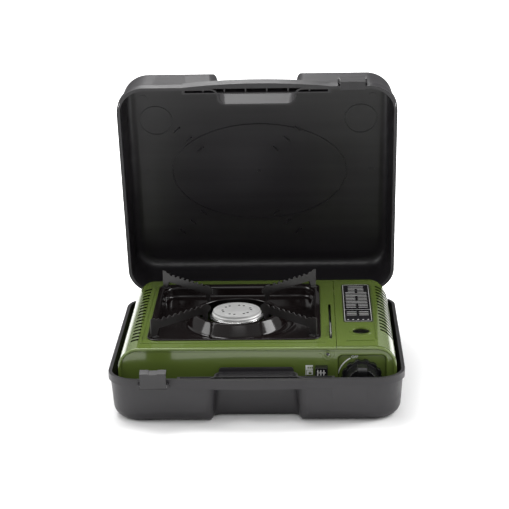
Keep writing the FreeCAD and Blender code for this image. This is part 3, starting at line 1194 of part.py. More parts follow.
def spring():
    """The coil that draws the pusher back."""
    start = val("pusher_y") + val("pusher_skin") + val("spring_clear")
    room = measure(f"{BACK} - 2*sheet - spring_clear") - start
    wire = val("spring_wire")
    long = room - 2 * wire
    helix = Part.Wire(Part.makeHelix(long / val("spring_turns"), long, val("spring_radius")))
    ring = Part.Wire([Part.makeCircle(wire, V(val("spring_radius"), 0, 0), V(0, 1, 0))])
    coil = helix.makePipeShell([ring], True, True)
    item = node("pusher_spring", from_code("spring_coil", coil))
    item.Placement = FreeCAD.Placement(
        V(val("bay_x"), start + wire, val("bay_z") - val("spring_drop")), TURNS["y"])


spring()


def screws():
    heads = []
    for i, (x, z) in enumerate(FRONT_SCREWS):
        heads.append(fuse(
            f"front_screw_{i}",
            rod(f"front_head_{i}", (x, f"{FACE} - screw_head", z), "screw_radius", "screw_head", "y"),
            rod(f"front_shank_{i}", (x, f"{FACE} - screw_clear", z), "screw_shank", "screw_long", "y")))
    node("body_screws", group("all_screws", *heads))


screws()

doc.recompute()

# Check every object, then write one file for each sub-part
faults = []
for item in doc.Objects:
    if {"Invalid", "Error"} & set(item.State):
        faults.append(f"{item.Name} state {item.State}")
for name, item in made.items():
    shape = item.Shape
    if shape.isNull() or not shape.isValid() or not shape.Solids:
        faults.append(f"{name} has no valid solid")
if faults:
    raise SystemExit("\n".join(faults))

os.makedirs("parts", exist_ok=True)
for name, item in made.items():
    item.Shape.exportStep(f"parts/{name}.step")
    print(f"{name:20s} solids {len(item.Shape.Solids):2d}  volume {item.Shape.Volume:12.1f}")
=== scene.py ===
import json
import math

import bmesh
import bpy
from mathutils import Matrix, Vector

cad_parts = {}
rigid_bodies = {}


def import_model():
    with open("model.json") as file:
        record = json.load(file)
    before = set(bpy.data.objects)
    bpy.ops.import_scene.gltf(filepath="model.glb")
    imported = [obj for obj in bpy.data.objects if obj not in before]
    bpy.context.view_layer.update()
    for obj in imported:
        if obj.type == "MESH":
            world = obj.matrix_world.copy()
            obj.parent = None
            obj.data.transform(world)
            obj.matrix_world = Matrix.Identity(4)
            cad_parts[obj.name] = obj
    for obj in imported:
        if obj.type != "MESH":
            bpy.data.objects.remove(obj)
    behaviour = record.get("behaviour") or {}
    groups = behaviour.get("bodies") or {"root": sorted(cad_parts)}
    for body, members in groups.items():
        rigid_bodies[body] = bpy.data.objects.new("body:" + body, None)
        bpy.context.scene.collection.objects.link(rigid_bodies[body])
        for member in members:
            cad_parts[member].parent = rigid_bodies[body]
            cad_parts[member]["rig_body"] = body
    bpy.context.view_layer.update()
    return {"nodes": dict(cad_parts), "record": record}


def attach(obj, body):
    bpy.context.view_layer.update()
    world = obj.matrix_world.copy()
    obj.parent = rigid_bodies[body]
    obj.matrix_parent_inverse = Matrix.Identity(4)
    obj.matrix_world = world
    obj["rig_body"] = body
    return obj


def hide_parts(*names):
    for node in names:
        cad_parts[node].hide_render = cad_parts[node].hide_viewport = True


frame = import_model()
scene = bpy.context.scene
MM = 0.001


# Camera: the photo's place, angle and focal length
def aim_camera(place, yaw, pitch, roll, lens):
    """A level camera turned by yaw, tipped down by pitch and rolled about its own axis."""
    forward = Vector((math.sin(yaw) * math.cos(pitch), math.cos(yaw) * math.cos(pitch), -math.sin(pitch)))
    side = Vector((math.cos(yaw), -math.sin(yaw), 0))
    up = side.cross(forward)
    right = side * math.cos(roll) + up * math.sin(roll)
    top = up * math.cos(roll) - side * math.sin(roll)
    data = bpy.data.cameras.new("photo_camera")
    data.sensor_width = 36
    data.lens = lens
    data.clip_start = 0.1
    data.clip_end = 60
    camera = bpy.data.objects.new("photo_camera", data)
    scene.collection.objects.link(camera)
    turn = Matrix((right, top, -forward)).transposed()
    camera.matrix_world = Matrix.Translation(place) @ turn.to_4x4()
    scene.camera = camera


aim_camera(Vector((0.06448, -2.15583, 0.81932)), math.radians(-1.81), math.radians(16.8),
           math.radians(-1.05), 124.53)
scene.view_settings.view_transform = "Standard"
scene.view_settings.look = "None"


# Shader writing
class Value:
    """A shader socket that Python's operators extend with math nodes."""

    def __init__(self, paint, socket):
        self.paint = paint
        self.socket = socket

    def op(self, kind, other):
        return self.paint.node("ShaderNodeMath", {"operation": kind}, {0: self, 1: other})["Value"]

    def __add__(self, other):
        return self.op("ADD", other)

    def __mul__(self, other):
        return self.op("MULTIPLY", other)

    def __sub__(self, other):
        return self.op("SUBTRACT", other)

    def __rsub__(self, other):
        return self * -1 + other

    def span(self, low, high, to_low=0.0, to_high=1.0):
        """A smooth step from to_low at low to to_high at high."""
        found = self.paint.node("ShaderNodeMapRange", {"interpolation_type": "SMOOTHSTEP"},
                                {"Value": self, "From Min": low, "From Max": high,
                                 "To Min": to_low, "To Max": to_high})
        return found["Result"]


class Outputs:
    """The outputs of one node by name."""

    def __init__(self, paint, made):
        self.paint = paint
        self.made = made

    def __getitem__(self, name):
        return Value(self.paint, self.made.outputs[name])


class Paint:
    """One procedural material built on a Principled shader."""

    def __init__(self, name, tree=None, **constants):
        if tree is None:
            self.material = bpy.data.materials.new(name)
            self.material.use_nodes = True
            tree = self.material.node_tree
            self.shader = tree.nodes["Principled BSDF"]
        self.tree = tree
        for word, value in constants.items():
            self.shader.inputs[word.replace("_", " ")].default_value = value

    def node(self, kind, settings=None, inputs=None):
        made = self.tree.nodes.new(kind)
        for word, value in (settings or {}).items():
            setattr(made, word, value)
        for key, value in (inputs or {}).items():
            self.put(made.inputs[key], value)
        return Outputs(self, made)

    def put(self, socket, value):
        """Link or set one input socket."""
        if isinstance(value, Value):
            self.tree.links.new(value.socket, socket)
        elif hasattr(socket.default_value, "__len__") and len(value) < len(socket.default_value):
            socket.default_value = (*value, 1)
        else:
            socket.default_value = value

    def drive(self, **inputs):
        for word, value in inputs.items():
            self.put(self.shader.inputs[word.replace("_", " ")], value)

    def place(self):
        return self.node("ShaderNodeTexCoord")["Object"]

    def stretched(self, scale):
        return self.node("ShaderNodeMapping", None, {"Vector": self.place(), "Scale": scale})["Vector"]

    def noise(self, scale, detail=4, rough=0.55, vector=None, twist=0.0):
        found = self.node("ShaderNodeTexNoise", None, {
            "Vector": vector or self.place(), "Scale": scale, "Detail": detail,
            "Roughness": rough, "Distortion": twist})
        return found["Fac"]

    def cells(self, scale):
        return self.node("ShaderNodeTexVoronoi", None, {"Vector": self.place(), "Scale": scale})["Distance"]

    def tones(self, share, low, high):
        """A colour between two, by a share."""
        made = self.node("ShaderNodeMix", {"data_type": "RGBA"}, {0: share})
        self.put(made.made.inputs[6], low)
        self.put(made.made.inputs[7], high)
        return Value(self, made.made.outputs[2])

    def bump(self, height, strength, distance=0.0003):
        normal = self.node("ShaderNodeBump", None,
                           {"Height": height, "Strength": strength, "Distance": distance})["Normal"]
        self.drive(Normal=normal)


# The lid's hinge axis in metres, and the angle by which it stands open
HINGE_Y = 0.1655
HINGE_Z = 0.059
LID_TURN = math.radians(73.4)


def moulded_plastic(name, dark, light, rough, grain, gloss=0.5, ribbing=0.0, painted_shade_inside=None):
    """Injection-moulded plastic: flow marks, fine texture and a few rubbed places.

    Below its rim the lid turns to a darker colour, painted shade for its dim inner face, and to a more even
    gloss."""
    paint = Paint(name, Specular_IOR_Level=gloss)
    flow = paint.noise(7, 5, 0.6, paint.stretched((0.4, 1, 1)), 2.2)
    rubbed = paint.noise(34, 6, 0.7).span(0.52, 0.72)
    speck = paint.noise(900, 2)
    lines = paint.noise(230, 2, 0.5, paint.stretched((0.02, 0.02, 1)))
    colour = paint.tones(flow.span(0.3, 0.72), dark, light)
    finish = flow.span(0.35, 0.65) * 0.14 + rubbed * 0.08 + lines * 0.06 + (rough - 0.11)
    if painted_shade_inside:
        at = paint.node("ShaderNodeSeparateXYZ", None, {"Vector": paint.place()})
        depth = (at["Y"] - HINGE_Y) * math.sin(LID_TURN) + (at["Z"] - HINGE_Z) * math.cos(LID_TURN)
        deep = depth.span(0.002, 0.012)
        streaks = paint.noise(60, 2, 0.5, paint.stretched((0.05, 1, 1))).span(0.35, 0.75) * deep
        # Painted shade: below its rim the lid's inner face is darkened towards a near-black purple.
        colour = paint.tones(deep, colour, painted_shade_inside)
        colour = paint.tones(streaks * 0.35, colour, light)
        even_gloss = 0.33
        finish = (even_gloss - finish) * deep * 0.75 + finish
    paint.drive(Base_Color=colour, Roughness=finish)
    paint.bump(speck * 0.6 + paint.noise(240, 3) * 0.4 + flow * 0.5 + lines * ribbing, grain)
    return paint.material


def enamel(name, dark, light, rough, peel=0.06, specks=None, coat=0.6, gloss=0.5):
    """Stoved paint with faint orange peel, dust in the coat and soft wear."""
    paint = Paint(name, Coat_Weight=coat, Coat_Roughness=0.05, Specular_IOR_Level=gloss)
    tone = paint.noise(5, 3, 0.5)
    fine = paint.noise(420, 3)
    colour = paint.tones(tone.span(0.3, 0.7), dark, light)
    if specks:
        dots = paint.cells(520).span(0.10, 0.16)
        colour = paint.tones(dots, specks, colour)
    paint.drive(Base_Color=colour, Roughness=tone * 0.06 + fine * 0.04 + (rough - 0.05))
    paint.bump(paint.noise(160, 2) * 0.8 + fine * 0.2, peel, 0.0001)
    return paint.material


def bare_metal(name, dark, light, rough, brushed=(1, 1, 1), grain=0.12, metal=1.0):
    """Plated or cast metal with fine lines or grain and a little staining."""
    paint = Paint(name, Metallic=metal)
    lines = paint.noise(160, 4, 0.65, paint.stretched(brushed))
    stain = paint.noise(26, 5, 0.6)
    paint.drive(Base_Color=paint.tones(stain.span(0.32, 0.7), dark, light),
                Roughness=lines * 0.16 + stain * 0.1 + (rough - 0.12))
    paint.bump(lines, grain, 0.0002)
    return paint.material


def matt(name, dark, light, rough, scale=180, grain=0.2):
    """Rubber, ceramic, sleeving and printed film."""
    paint = Paint(name)
    grit = paint.noise(scale, 4)
    paint.drive(Base_Color=paint.tones(grit.span(0.3, 0.7), dark, light),
                Roughness=grit * 0.15 + (rough - 0.07))
    paint.bump(grit, grain, 0.0002)
    return paint.material


PAINTS = {
    "case_plastic": moulded_plastic("case_plastic", (0.0150, 0.0139, 0.0160), (0.0245, 0.0227, 0.0255),
                                    0.44, 0.14, 0.5, 0.25),
    "latch_plastic": moulded_plastic("latch_plastic", (0.0165, 0.0155, 0.0172), (0.0265, 0.0250, 0.0272),
                                     0.40, 0.16),
    "green_enamel": enamel("green_enamel", (0.098, 0.142, 0.0265), (0.110, 0.157, 0.0315), 0.20),
    "black_enamel": enamel("black_enamel", (0.0062, 0.0042, 0.0042), (0.0095, 0.0065, 0.0065), 0.13, 0.05,
                           (0.022, 0.018, 0.018), 0.15, 0.40),
    "zinc_steel": bare_metal("zinc_steel", (0.42, 0.43, 0.42), (0.60, 0.60, 0.58), 0.36, (1, 0.2, 1)),
    "bright_steel": bare_metal("bright_steel", (0.60, 0.60, 0.60), (0.78, 0.78, 0.77), 0.20, (1, 0.1, 1)),
    "cast_alloy": bare_metal("cast_alloy", (0.55, 0.55, 0.55), (0.72, 0.72, 0.71), 0.40, (1, 1, 1), 0.25),
    "brass": bare_metal("brass", (0.55, 0.38, 0.13), (0.72, 0.52, 0.22), 0.28, (1, 1, 0.2)),
    "rubber": matt("rubber", (0.016, 0.016, 0.017), (0.026, 0.026, 0.027), 0.75),
    "knob_plastic": moulded_plastic("knob_plastic", (0.0080, 0.0080, 0.0085), (0.0130, 0.0130, 0.0135),
                                    0.26, 0.05, 0.6),
    "plate_black": enamel("plate_black", (0.007, 0.006, 0.008), (0.012, 0.011, 0.013), 0.22, 0.03),
    "plate_white": matt("plate_white", (0.70, 0.72, 0.70), (0.80, 0.82, 0.80), 0.45, 300, 0.05),
    "ceramic": matt("ceramic", (0.72, 0.70, 0.66), (0.84, 0.82, 0.78), 0.30),
    "lead_sleeve": matt("lead_sleeve", (0.30, 0.05, 0.03), (0.40, 0.08, 0.05), 0.50),
}
# The lid's plastic, with painted shade on its inner face below the rim.
LID_PAINT = moulded_plastic("lid_plastic", (0.0150, 0.0139, 0.0160), (0.0245, 0.0227, 0.0255),
                            0.40, 0.14, 0.5, 0.35, (0.0098, 0.0084, 0.0106))
# Near-black plastic used as painted shade in the burner cap's ports and the body's vent slots.
SLOT_SHADE_PAINT = moulded_plastic("slot_painted_shade", (0.0020, 0.0021, 0.0020), (0.0040, 0.0042, 0.0038),
                             0.85, 0.05, 0.0)
STAY_PAINT = enamel("stay_enamel", (0.0062, 0.0052, 0.0052), (0.0095, 0.0080, 0.0080),
                    0.30, 0.05, None, 0.0, 0.3)
CAP_PAINT = bare_metal("cap_alloy", (0.86, 0.86, 0.85), (0.96, 0.96, 0.95), 0.40, (1, 1, 1), 0.10, 0.55)
TAB_PAINT = bare_metal("tab_steel", (0.80, 0.80, 0.80), (0.93, 0.93, 0.92), 0.24, (1, 0.1, 1), 0.1, 0.8)
PRINT_PAINT = matt("pale_print", (0.50, 0.50, 0.49), (0.64, 0.64, 0.62), 0.50, 500, 0.02)
WORD_PAINT = matt("white_print", (0.74, 0.75, 0.74), (0.86, 0.87, 0.86), 0.50, 500, 0.02)
node_slots = {}
for entry in frame["record"]["subparts"]:
    node_slots[entry["node"]] = entry["material_slot"]


# Mesh helpers
def piece(name, mesh, body, slot, replaces=(), paint=None):
    """Show one finished mesh on a body, with its material slot."""
    made = bpy.data.objects.new(name, mesh)
    scene.collection.objects.link(made)
    mesh.materials.clear()
    mesh.materials.append(paint or PAINTS[slot])
    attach(made, body)
    if replaces:
        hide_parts(*replaces)


def finished(mesh, bevel=0):
    """The mesh with its sharp edges rounded and its faces shaded smooth."""
    made = bpy.data.objects.new("work", mesh)
    scene.collection.objects.link(made)
    mesh.shade_smooth()
    if bevel:
        edge = made.modifiers.new("edge", "BEVEL")
        edge.width = bevel * MM
        edge.segments = 2
        edge.limit_method = "ANGLE"
        edge.angle_limit = math.radians(32)
        edge.harden_normals = True
        edge.use_clamp_overlap = True
    even = made.modifiers.new("even", "WEIGHTED_NORMAL")
    even.mode = "FACE_AREA"
    even.weight = 50
    even.keep_sharp = True
    graph = bpy.context.evaluated_depsgraph_get()
    result = bpy.data.meshes.new_from_object(made.evaluated_get(graph))
    bpy.data.objects.remove(made)
    return result


def dress(node, bevel, reshape=None, paint=None):
    """A CAD node shown with rounded edges and its own finish."""
    source = frame["nodes"][node]
    work = bmesh.new()
    work.from_mesh(source.data)
    bmesh.ops.remove_doubles(work, verts=work.verts, dist=2e-6)
    if reshape:
        reshape(work)
    bmesh.ops.dissolve_limit(work, angle_limit=math.radians(1), verts=work.verts, edges=work.edges)
    mesh = bpy.data.meshes.new(node + "_shown")
    work.to_mesh(mesh)
    work.free()
    piece(node + "_shown", finished(mesh, bevel), source["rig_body"], node_slots[node], (node,), paint)


def rounded(points, radius, steps=8):
    """A line of points in a plane with its inner corners rounded."""
    line = [Vector(points[0])]
    for before, at, after in zip(points, points[1:], points[2:]):
        before, at, after = Vector(before), Vector(at), Vector(after)
        start = (before - at).normalized()
        end = (after - at).normalized()
        half = start.angle(end) / 2
        reach = min(radius / math.tan(half), (before - at).length * 0.49, (after - at).length * 0.49)
        centre = at + (start + end).normalized() * (reach / math.cos(half))
        size = reach * math.tan(half)
        first = at + start * reach - centre
        last = at + end * reach - centre
        for i in range(steps + 1):
            line.append(centre + first.slerp(last, i / steps).normalized() * size)
    line.append(Vector(points[-1]))
    return line


def sweep(work, line, section, across, closed=False):
    """A section carried along a plane line; the section's second axis is the plane's normal."""
    across = Vector(across)
    count = len(line)
    rings = []
    for i, at in enumerate(line):
        ahead = line[(i + 1) % count] if closed or i + 1 < count else at
        behind = line[i - 1] if closed or i else at
        side = across.cross((ahead - behind).normalized())
        rings.append([work.verts.new((at + side * a + across * b) * MM) for a, b in section])
    steps = len(section)
    for i in range(count if closed else count - 1):
        one = rings[i]
        two = rings[(i + 1) % count]
        for j in range(steps):
            work.faces.new((one[j], one[(j + 1) % steps], two[(j + 1) % steps], two[j]))
    if not closed:
        work.faces.new(rings[0][::-1])
        work.faces.new(rings[-1])


def disc(radius, sides=12):
    return [(radius * math.cos(math.tau * i / sides), radius * math.sin(math.tau * i / sides))
            for i in range(sides)]


def prism(work, outline, place, low, high):
    """A flat shape with its own thickness, set by place(u, v, w)."""
    rings = [[work.verts.new(place(u, v, w) * MM) for u, v in outline] for w in (low, high)]
    count = len(outline)
    for i in range(count):
        work.faces.new((rings[0][i], rings[0][(i + 1) % count], rings[1][(i + 1) % count], rings[1][i]))
    work.faces.new(rings[0][::-1])
    work.faces.new(rings[1])


def pill(u0, u1, v0, v1, round_share=0.5, steps=4):
    """A rounded bar between two corners."""
    radius = min(u1 - u0, v1 - v0) * round_share
    outline = []
    for cu, cv, turn in ((u1, v1, 0), (u0, v1, 90), (u0, v0, 180), (u1, v0, 270)):
        cu += radius if cu == u0 else -radius
        cv += radius if cv == v0 else -radius
        for i in range(steps + 1):
            angle = math.radians(turn + 90 * i / steps)
            outline.append((cu + radius * math.cos(angle), cv + radius * math.sin(angle)))
    return outline


def closed_up(name, work):
    """The worked mesh with outward normals, ready to show."""
    bmesh.ops.recalc_face_normals(work, faces=work.faces)
    mesh = bpy.data.meshes.new(name)
    work.to_mesh(mesh)
    work.free()
    return finished(mesh)


# Levels and places that the stove's own details sit on, in millimetres
STOVE_TOP = 86.7
FRONT = -126.5
FACE = -124.1
DISH = -119.5
LEFT = -170.5
RIGHT = 172.5
SEAM = 98.5
PAN = (-28.5, 14)
SHOULDER = 25
CAP_TOP = STOVE_TOP + 2.3
KNOB = (129.5, 44)
VENT_PITCH = 12.6
VENT_HALF = 2.2


def tuck_front(work):
    """Draw the folded sheet's front edge back to make room for its rolled rim."""
    for point in work.verts:
        if point.co.y < (FRONT + 0.3) * MM:
            point.co.y += 2.0 * MM


BEVELS = {
    "case_tray": 0.7, "case_lid": 0.6, "tray_latch": 0.5, "lid_latch": 0.5,
    "right_side": 0.3, "front_panel": 0.5, "cartridge_cover": 0.4,
    "burner_ring": 0.4, "knob": 1.0, "lock_lever": 0.6, "feet": 0.8,
    "regulator_body": 0.8, "burner_head": 0.5, "pusher_spring": 0, "gas_pipe": 0, "ignition_lead": 0,
    "socket_seal": 0, "cover_plate": 0.1, "lever_plate": 0.08, "pan_support_1": 0.4,
    "pan_support_2": 0.4, "pan_support_3": 0.4, "pan_support_4": 0.4,
}
OWN_MESH = {"drip_pan", "body_screws"}
OWN_PAINTS = {"case_lid": LID_PAINT}
for number in range(1, 5):
    OWN_PAINTS[f"pan_support_{number}"] = STAY_PAINT
for name in sorted(set(frame["nodes"]) - OWN_MESH - {"hood", "right_side", "burner_cap", "interlock_tab"}):
    dress(name, BEVELS.get(name, 0.3), paint=OWN_PAINTS.get(name))
dress("hood", 0.4, reshape=tuck_front)
dress("right_side", 0.3, reshape=tuck_front)
dress("burner_cap", 0.6, paint=CAP_PAINT)
dress("interlock_tab", 0.3, paint=TAB_PAINT)


# Drip pan: one pressed sheet from the crown's rim out to the flange
def pan_ring(work, half_x, half_y, corner, z):
    """A ring of points, a circle where the corner is as large as the half widths."""
    ring = []
    quarter = 28
    for turn in range(4):
        flip = turn % 2
        wide, deep = (half_y, half_x) if flip else (half_x, half_y)
        points = []
        for i in range(quarter):
            share = i / quarter
            if share < 0.25:
                points.append((wide, (deep - corner) * share * 4))
            elif share < 0.75:
                angle = math.radians((share - 0.25) * 180)
                points.append((wide - corner + corner * math.cos(angle),
                               deep - corner + corner * math.sin(angle)))
            else:
                points.append(((wide - corner) * (1 - share) * 4, deep))
        if corner >= min(half_x, half_y):
            points = [(half_x * math.cos(math.pi * i / quarter / 2),
                       half_x * math.sin(math.pi * i / quarter / 2)) for i in range(quarter)]
        for u, v in points:
            for _ in range(turn):
                u, v = -v, u
            ring.append(work.verts.new(((PAN[0] + u) * MM, (PAN[1] + v) * MM, z * MM)))
    return ring


def drip_pan():
    work = bmesh.new()
    top = [(51.3, 86.6), (51.6, 87.6), (52.6, 88.1), (54.6, 88.1), (55.7, 87.6), (56.4, 86.4),
           (63.6, 74.6), (65.0, 72.9), (67.0, 72.0), (70.0, 71.7), (73.0, 71.9), (75.0, 72.5),
           (77.0, 71.9), (80.0, 71.6)]
    square = [(92.0, 96.0, 26, 71.6), (96.2, 100.2, 20, 71.8), (98.6, 102.6, 19.4, 73.0),
              (99.8, 103.8, 20.2, 75.4), (100.5, 104.5, 21, 83.6), (101.1, 105.1, 21.2, 86.2),
              (102.4, 106.4, 21, 87.4), (104.0, 108.0, 18.5, 87.6), (106.6, 110.6, 15.2, 87.7),
              (107.6, 111.6, 14.6, 88.2), (108.3, 112.3, 14.2, 88.1), (108.5, 112.5, 14, 87.5),
              (108.3, 112.3, 13.8, 86.8)]
    rings = [pan_ring(work, r, r, r, z) for r, z in top]
    rings += [pan_ring(work, *entry) for entry in square]
    under = [(107.0, 111.0, 15, 86.75), (102.0, 106.0, 21, 86.5), (101.3, 105.3, 21.6, 84),
             (100.9, 104.9, 21.4, 75), (99.0, 103.0, 19.6, 71.6), (95.8, 99.8, 19.4, 70.8)]
    rings += [pan_ring(work, *entry) for entry in under]
    rings += [pan_ring(work, r, r, r, z) for r, z in ((80, 70.75), (68, 70.8), (64.2, 72), (55.6, 86),
                                                      (54.4, 87.2), (52.2, 87.2), (51.4, 86.5))]
    count = len(rings[0])
    for one, two in zip(rings, rings[1:] + rings[:1]):
        for i in range(count):
            work.faces.new((one[i], one[(i + 1) % count], two[(i + 1) % count], two[i]))
    piece("drip_pan_shown", closed_up("drip_pan_shown", work), "pan", "black_enamel", ("drip_pan",))


drip_pan()


# Stove front: the rolled rim, the pressed outlines, screws and print
def at_front(level):
    return lambda u, v, w: Vector((u, level - w, v))


def on_top(level):
    return lambda u, v, w: Vector((u, v, level + w))


def front_rims():
    """The rolled front edge of the folded body, broken at the seam."""
    radius = 1.95
    y = FRONT + radius
    corner = 25 - radius
    left, right, top, low = LEFT + radius, RIGHT - radius, STOVE_TOP - radius, 11
    work = bmesh.new()
    for line in (rounded([(left, y, low), (left, y, top), (SEAM - 0.3, y, top)], corner, 12),
                 rounded([(SEAM + 0.5, y, top), (right, y, top), (right, y, low)], corner, 12)):
        sweep(work, line, disc(radius, 14), (0, 1, 0))
    piece("front_rim", closed_up("front_rim", work), "stove", "green_enamel")


def pressed_outlines():
    """The dip of the left face's edge below the screw, and the soft step round the knob's dish."""
    work = bmesh.new()
    y = FACE + 0.35
    step = [(0.0, 0.2), (0.5, -0.2), (1.3, -0.5), (2.2, -0.55), (3.2, -0.4), (4.4, 0.2)]
    bend = rounded([(78, y, STOVE_TOP - 7), (82, y, STOVE_TOP - 8), (84.5, y, 70.5), (91.5, y, 70.2),
                    (94.5, y, 76), (95, y, STOVE_TOP - 6)], 4.5, 7)
    sweep(work, bend, [(a * 0.5, b) for a, b in step], (0, 1, 0))
    right = rounded([(96.5, y, 14), (96.5, y, 79.4), (163.4, y, 79.4), (163.4, y, 14)], 10, 8)
    sweep(work, right, step, (0, 1, 0))
    piece("pressed_outlines", closed_up("pressed_outlines", work), "stove", "green_enamel")


def arc(x, z, y, radius, start, end, steps):
    """Points on part of an upright circle, from one angle in degrees to another."""
    turns = [math.radians(start + (end - start) * i / steps) for i in range(steps + 1)]
    return [Vector((x + radius * math.cos(a), y, z + radius * math.sin(a))) for a in turns]


def screws():
    """Screws sunk in pressed dimples: a dark disc with a cross, painted shade for the hole, and a steel arc
    that catches light on its lower right.
    """
    places = ((88, 77), (LEFT + 18, 22.5), (66, 22.5))
    dimples, hole_shade, glints = bmesh.new(), bmesh.new(), bmesh.new()
    lip = [(-1.0, -0.1), (-0.5, 0.22), (0.3, 0.3), (1.1, 0.18), (1.8, -0.1)]
    for x, z in places:
        sweep(dimples, arc(x, z, FACE, 2.9, 0, 360, 32)[:-1], [(a, -b) for a, b in lip], (0, 1, 0), True)
        # Painted shade: a flat dark disc and cross stand for the shade in the screw's hole.
        prism(hole_shade, pill(x - 2.1, x + 2.1, z - 2.1, z + 2.1, 0.5, 6), at_front(FACE), -0.4, 0.06)
        for u0, u1, v0, v1 in ((-1.3, 1.3, -0.25, 0.25), (-0.25, 0.25, -1.3, 1.3)):
            prism(hole_shade, pill(x + u0, x + u1, z + v0, z + v1, 0.3), at_front(FACE), 0, 0.14)
        sweep(glints, arc(x, z, FACE - 0.1, 2.05, -95, 15, 12), disc(0.32, 8), (0, 1, 0))
    piece("screw_dimples", closed_up("screw_dimples", dimples), "stove", "green_enamel")
    piece("screw_hole_shade", closed_up("screw_hole_shade", hole_shade), "stove", "knob_plastic")
    piece("screw_glints", closed_up("screw_glints", glints), "stove", node_slots["body_screws"],
          ("body_screws",))


def words(name, text, size, place, body):
    """Raised print facing the front, its middle at a point."""
    data = bpy.data.curves.new(name, "FONT")
    data.body = text
    data.size = size * MM
    data.extrude = 0.08 * MM
    data.align_x = "CENTER"
    data.align_y = "CENTER"
    work = bpy.data.objects.new(name, data)
    scene.collection.objects.link(work)
    graph = bpy.context.evaluated_depsgraph_get()
    mesh = bpy.data.meshes.new_from_object(work.evaluated_get(graph))
    bpy.data.objects.remove(work)
    mesh.transform(Matrix.Translation(Vector(place) * MM) @ Matrix.Rotation(math.radians(90), 4, "X"))
    piece(name, mesh, body, "plate_white", (), WORD_PAINT)


def dial_print():
    """The white arc that ends at the word for off."""
    work = bmesh.new()
    line = arc(*KNOB, DISH - 0.05, 29.6, 168, 118, 20)
    sweep(work, line, [(-0.75, 0.05), (0.75, 0.05), (0.75, -0.08), (-0.75, -0.08)], (0, 1, 0))
    piece("dial_arc", closed_up("dial_arc", work), "stove", "plate_white", (), WORD_PAINT)
    words("dial_off", "OFF", 4.8, (121.0, DISH - 0.05, 71.6), "stove")


def lever_print():
    """Pictograms on the plate beside the lock lever and ridges on the lever."""
    place = at_front(FACE - 0.3)
    work = bmesh.new()
    for u0, u1, v0, v1 in ((61.4, 70.6, 49.9, 50.5), (61.4, 62.0, 50.5, 56.4), (70.0, 70.6, 50.5, 56.4),
                           (61.4, 70.6, 56.4, 56.9), (64.2, 67.8, 51.2, 53.6)):
        prism(work, pill(u0, u1, v0, v1, 0.2), place, 0.01, 0.06)
    sweep(work, arc(66, 53.6, FACE - 0.33, 1.2, 0, 180, 8), disc(0.22, 6), (0, 1, 0))
    for u in (63.0, 65.4, 67.8):
        prism(work, pill(u, u + 1.4, 58.4, 61.2, 0.5), place, 0.01, 0.06)
    piece("lever_pictograms", closed_up("lever_pictograms", work), "stove", "green_enamel")
    place = at_front(FACE - 11)
    work = bmesh.new()
    for u in (74.6, 78.3, 82.0):
        prism(work, pill(u, u + 1.5, 53.2, 60.6, 0.5), place, -0.1, 0.10)
        prism(work, [(u + 1.9, 55.2), (u + 3.1, 56.9), (u + 1.9, 58.6)], place, -0.1, 0.10)
    piece("lever_marks", closed_up("lever_marks", work), "lever", "plate_white", (), PRINT_PAINT)


def plate_print():
    """A frame and plain ruled lines on the black plate of the cover."""
    place = on_top(STOVE_TOP + 0.4)
    left, right, front, back = 111.2, 145.3, -29.5, 121.0
    work = bmesh.new()
    frame_line = [Vector((u, v, STOVE_TOP + 0.42)) for u, v in pill(left, right, front, back, 0.06)]
    sweep(work, frame_line, [(-0.3, -0.1), (0.3, -0.1), (0.3, 0.06), (-0.3, 0.06)], (0, 0, 1), True)
    prism(work, pill(left + 0.5, right - 0.5, 16.2, 16.8, 0.3), place, 0, 0.06)
    for i in range(20):
        y = 112 - 6.2 * i
        if 10 < y < 22:
            continue
        inset = 6.5 if i < 4 else 3
        columns = [(left + inset, right - inset)]
        if i % 5 > 1:
            columns = [(left + inset, 127), (130, right - inset)]
        for start, end in columns:
            prism(work, pill(start, end, y, y + 1.3, 0.5), place, 0, 0.06)
    for i in range(5):
        u = left + 4.2 + i * 6.4
        prism(work, pill(u - 1.2, u + 1.2, -24.5, -22.1, 0.5), place, 0, 0.06)
    piece("plate_rules", closed_up("plate_rules", work), "cover", "plate_white", (), PRINT_PAINT)


def cap_ports():
    """Painted shade: dark discs for pairs of small ports round the top of the burner cap."""
    work = bmesh.new()
    for i in range(6):
        for spread in (-10, 10):
            a = math.radians(60 * i + spread + 12)
            u, v = PAN[0] + 18.5 * math.cos(a), PAN[1] + 18.5 * math.sin(a)
            prism(work, pill(u - 1.6, u + 1.6, v - 1.6, v + 1.6), on_top(CAP_TOP), -0.3, 0.05)
    piece("cap_ports", closed_up("cap_ports", work), "stove", "knob_plastic", (), SLOT_SHADE_PAINT)


def vent_shadows():
    """Painted shade: dark strips laid over the slots in both rounded shoulders of the body."""
    for name, body, side, middle, first, last, start, count in (
            ("left_vent_shade", "stove", -1, LEFT + SHOULDER, 4, 27, -92.25, 17),
            ("right_vent_shade", "cover", 1, RIGHT - SHOULDER, 17, 66, -58.65, 15)):
        work = bmesh.new()
        turns = [math.radians(first + (last - first) * i / 8) for i in range(9)]
        section = [(-0.3, -VENT_HALF), (0.3, -VENT_HALF), (0.3, VENT_HALF), (-0.3, VENT_HALF)]
        for i in range(count):
            y = start + VENT_PITCH * i
            line = [Vector((middle + side * SHOULDER * math.sin(a), y,
                            STOVE_TOP - SHOULDER + SHOULDER * math.cos(a))) for a in turns]
            sweep(work, line, section, (0, 1, 0))
        piece(name, closed_up(name, work), body, "knob_plastic", (), SLOT_SHADE_PAINT)


front_rims()
pressed_outlines()
cap_ports()
vent_shadows()
screws()
dial_print()
lever_print()
plate_print()

# Studio
def studio_sheet(name, place, size, power, look_at):
    """A soft box that faces a point."""
    data = bpy.data.lights.new(name, "AREA")
    data.shape = "RECTANGLE"
    data.size = size[0]
    data.size_y = size[1]
    data.energy = power
    light = bpy.data.objects.new(name, data)
    light.location = place
    light.rotation_mode = "QUATERNION"
    light.rotation_quaternion = (Vector(look_at) - Vector(place)).to_track_quat("-Z", "Y")
    scene.collection.objects.link(light)


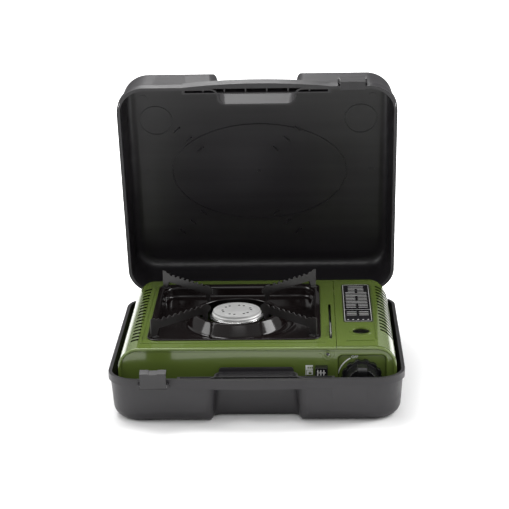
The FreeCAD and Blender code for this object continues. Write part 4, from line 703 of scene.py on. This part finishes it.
studio_sheet("top_box", (-0.45, 0.75, 1.9), (1.6, 1.1), 40, (0, 0.05, 0.1))
studio_sheet("left_box", (-1.7, -0.3, 1.1), (0.8, 1.2), 13, (0, 0, 0.12))
studio_sheet("front_box", (0.3, -2.6, 2.0), (1.8, 0.8), 9, (0, 0, 0.15))
studio_sheet("right_box", (1.5, 0.1, 1.0), (0.7, 1.3), 20, (0.1, 0, 0.1))


def sky():
    """White for the camera, a grey band for reflections and soft light for everything else."""
    world = bpy.data.worlds.new("studio")
    scene.world = world
    world.use_nodes = True
    paint = Paint("studio", world.node_tree)
    path = paint.node("ShaderNodeLightPath")
    seen = path["Is Camera Ray"]
    mirrored = path["Is Glossy Ray"]
    height = paint.node("ShaderNodeSeparateXYZ", None,
                        {"Vector": paint.node("ShaderNodeTexCoord")["Generated"]})["Z"]
    mirror = height.span(0.0, 0.45, 0.20, 0.50) - height.span(0.5, 0.95, 0.0, 0.26)
    soft = mirrored * (mirror - 0.60) + 0.60
    strength = seen * (1.02 - soft) + soft
    back = world.node_tree.nodes["Background"]
    paint.put(back.inputs["Color"], (1, 1, 1))
    paint.put(back.inputs["Strength"], strength)


sky()


def floor():
    """White paper that shows shadows near the case and is pure white to the camera beyond."""
    paint = Paint("floor_white", Roughness=0.85, Specular_IOR_Level=0.1, Emission_Strength=1.0)
    cloud = paint.noise(1.5, 3)
    seen = paint.node("ShaderNodeLightPath")["Is Camera Ray"]
    middle = paint.node("ShaderNodeVectorMath", {"operation": "LENGTH"}, {0: paint.place()})["Value"]
    glow = seen * middle.span(0.26, 0.62, 0.0, 1.0)
    paint.drive(Base_Color=paint.tones(cloud.span(0.3, 0.7), (0.93, 0.93, 0.93), (0.95, 0.95, 0.95)),
                Emission_Color=paint.tones(glow, (0, 0, 0), (1, 1, 1)))
    mesh = bpy.data.meshes.new("floor")
    reach = 14
    mesh.from_pydata([(-reach, -reach, 0), (reach, -reach, 0), (reach, reach, 0), (-reach, reach, 0)],
                     [], [(0, 1, 2, 3)])
    mesh.materials.append(paint.material)
    made = bpy.data.objects.new("floor", mesh)
    scene.collection.objects.link(made)
    made.location.z = -0.0003


floor()
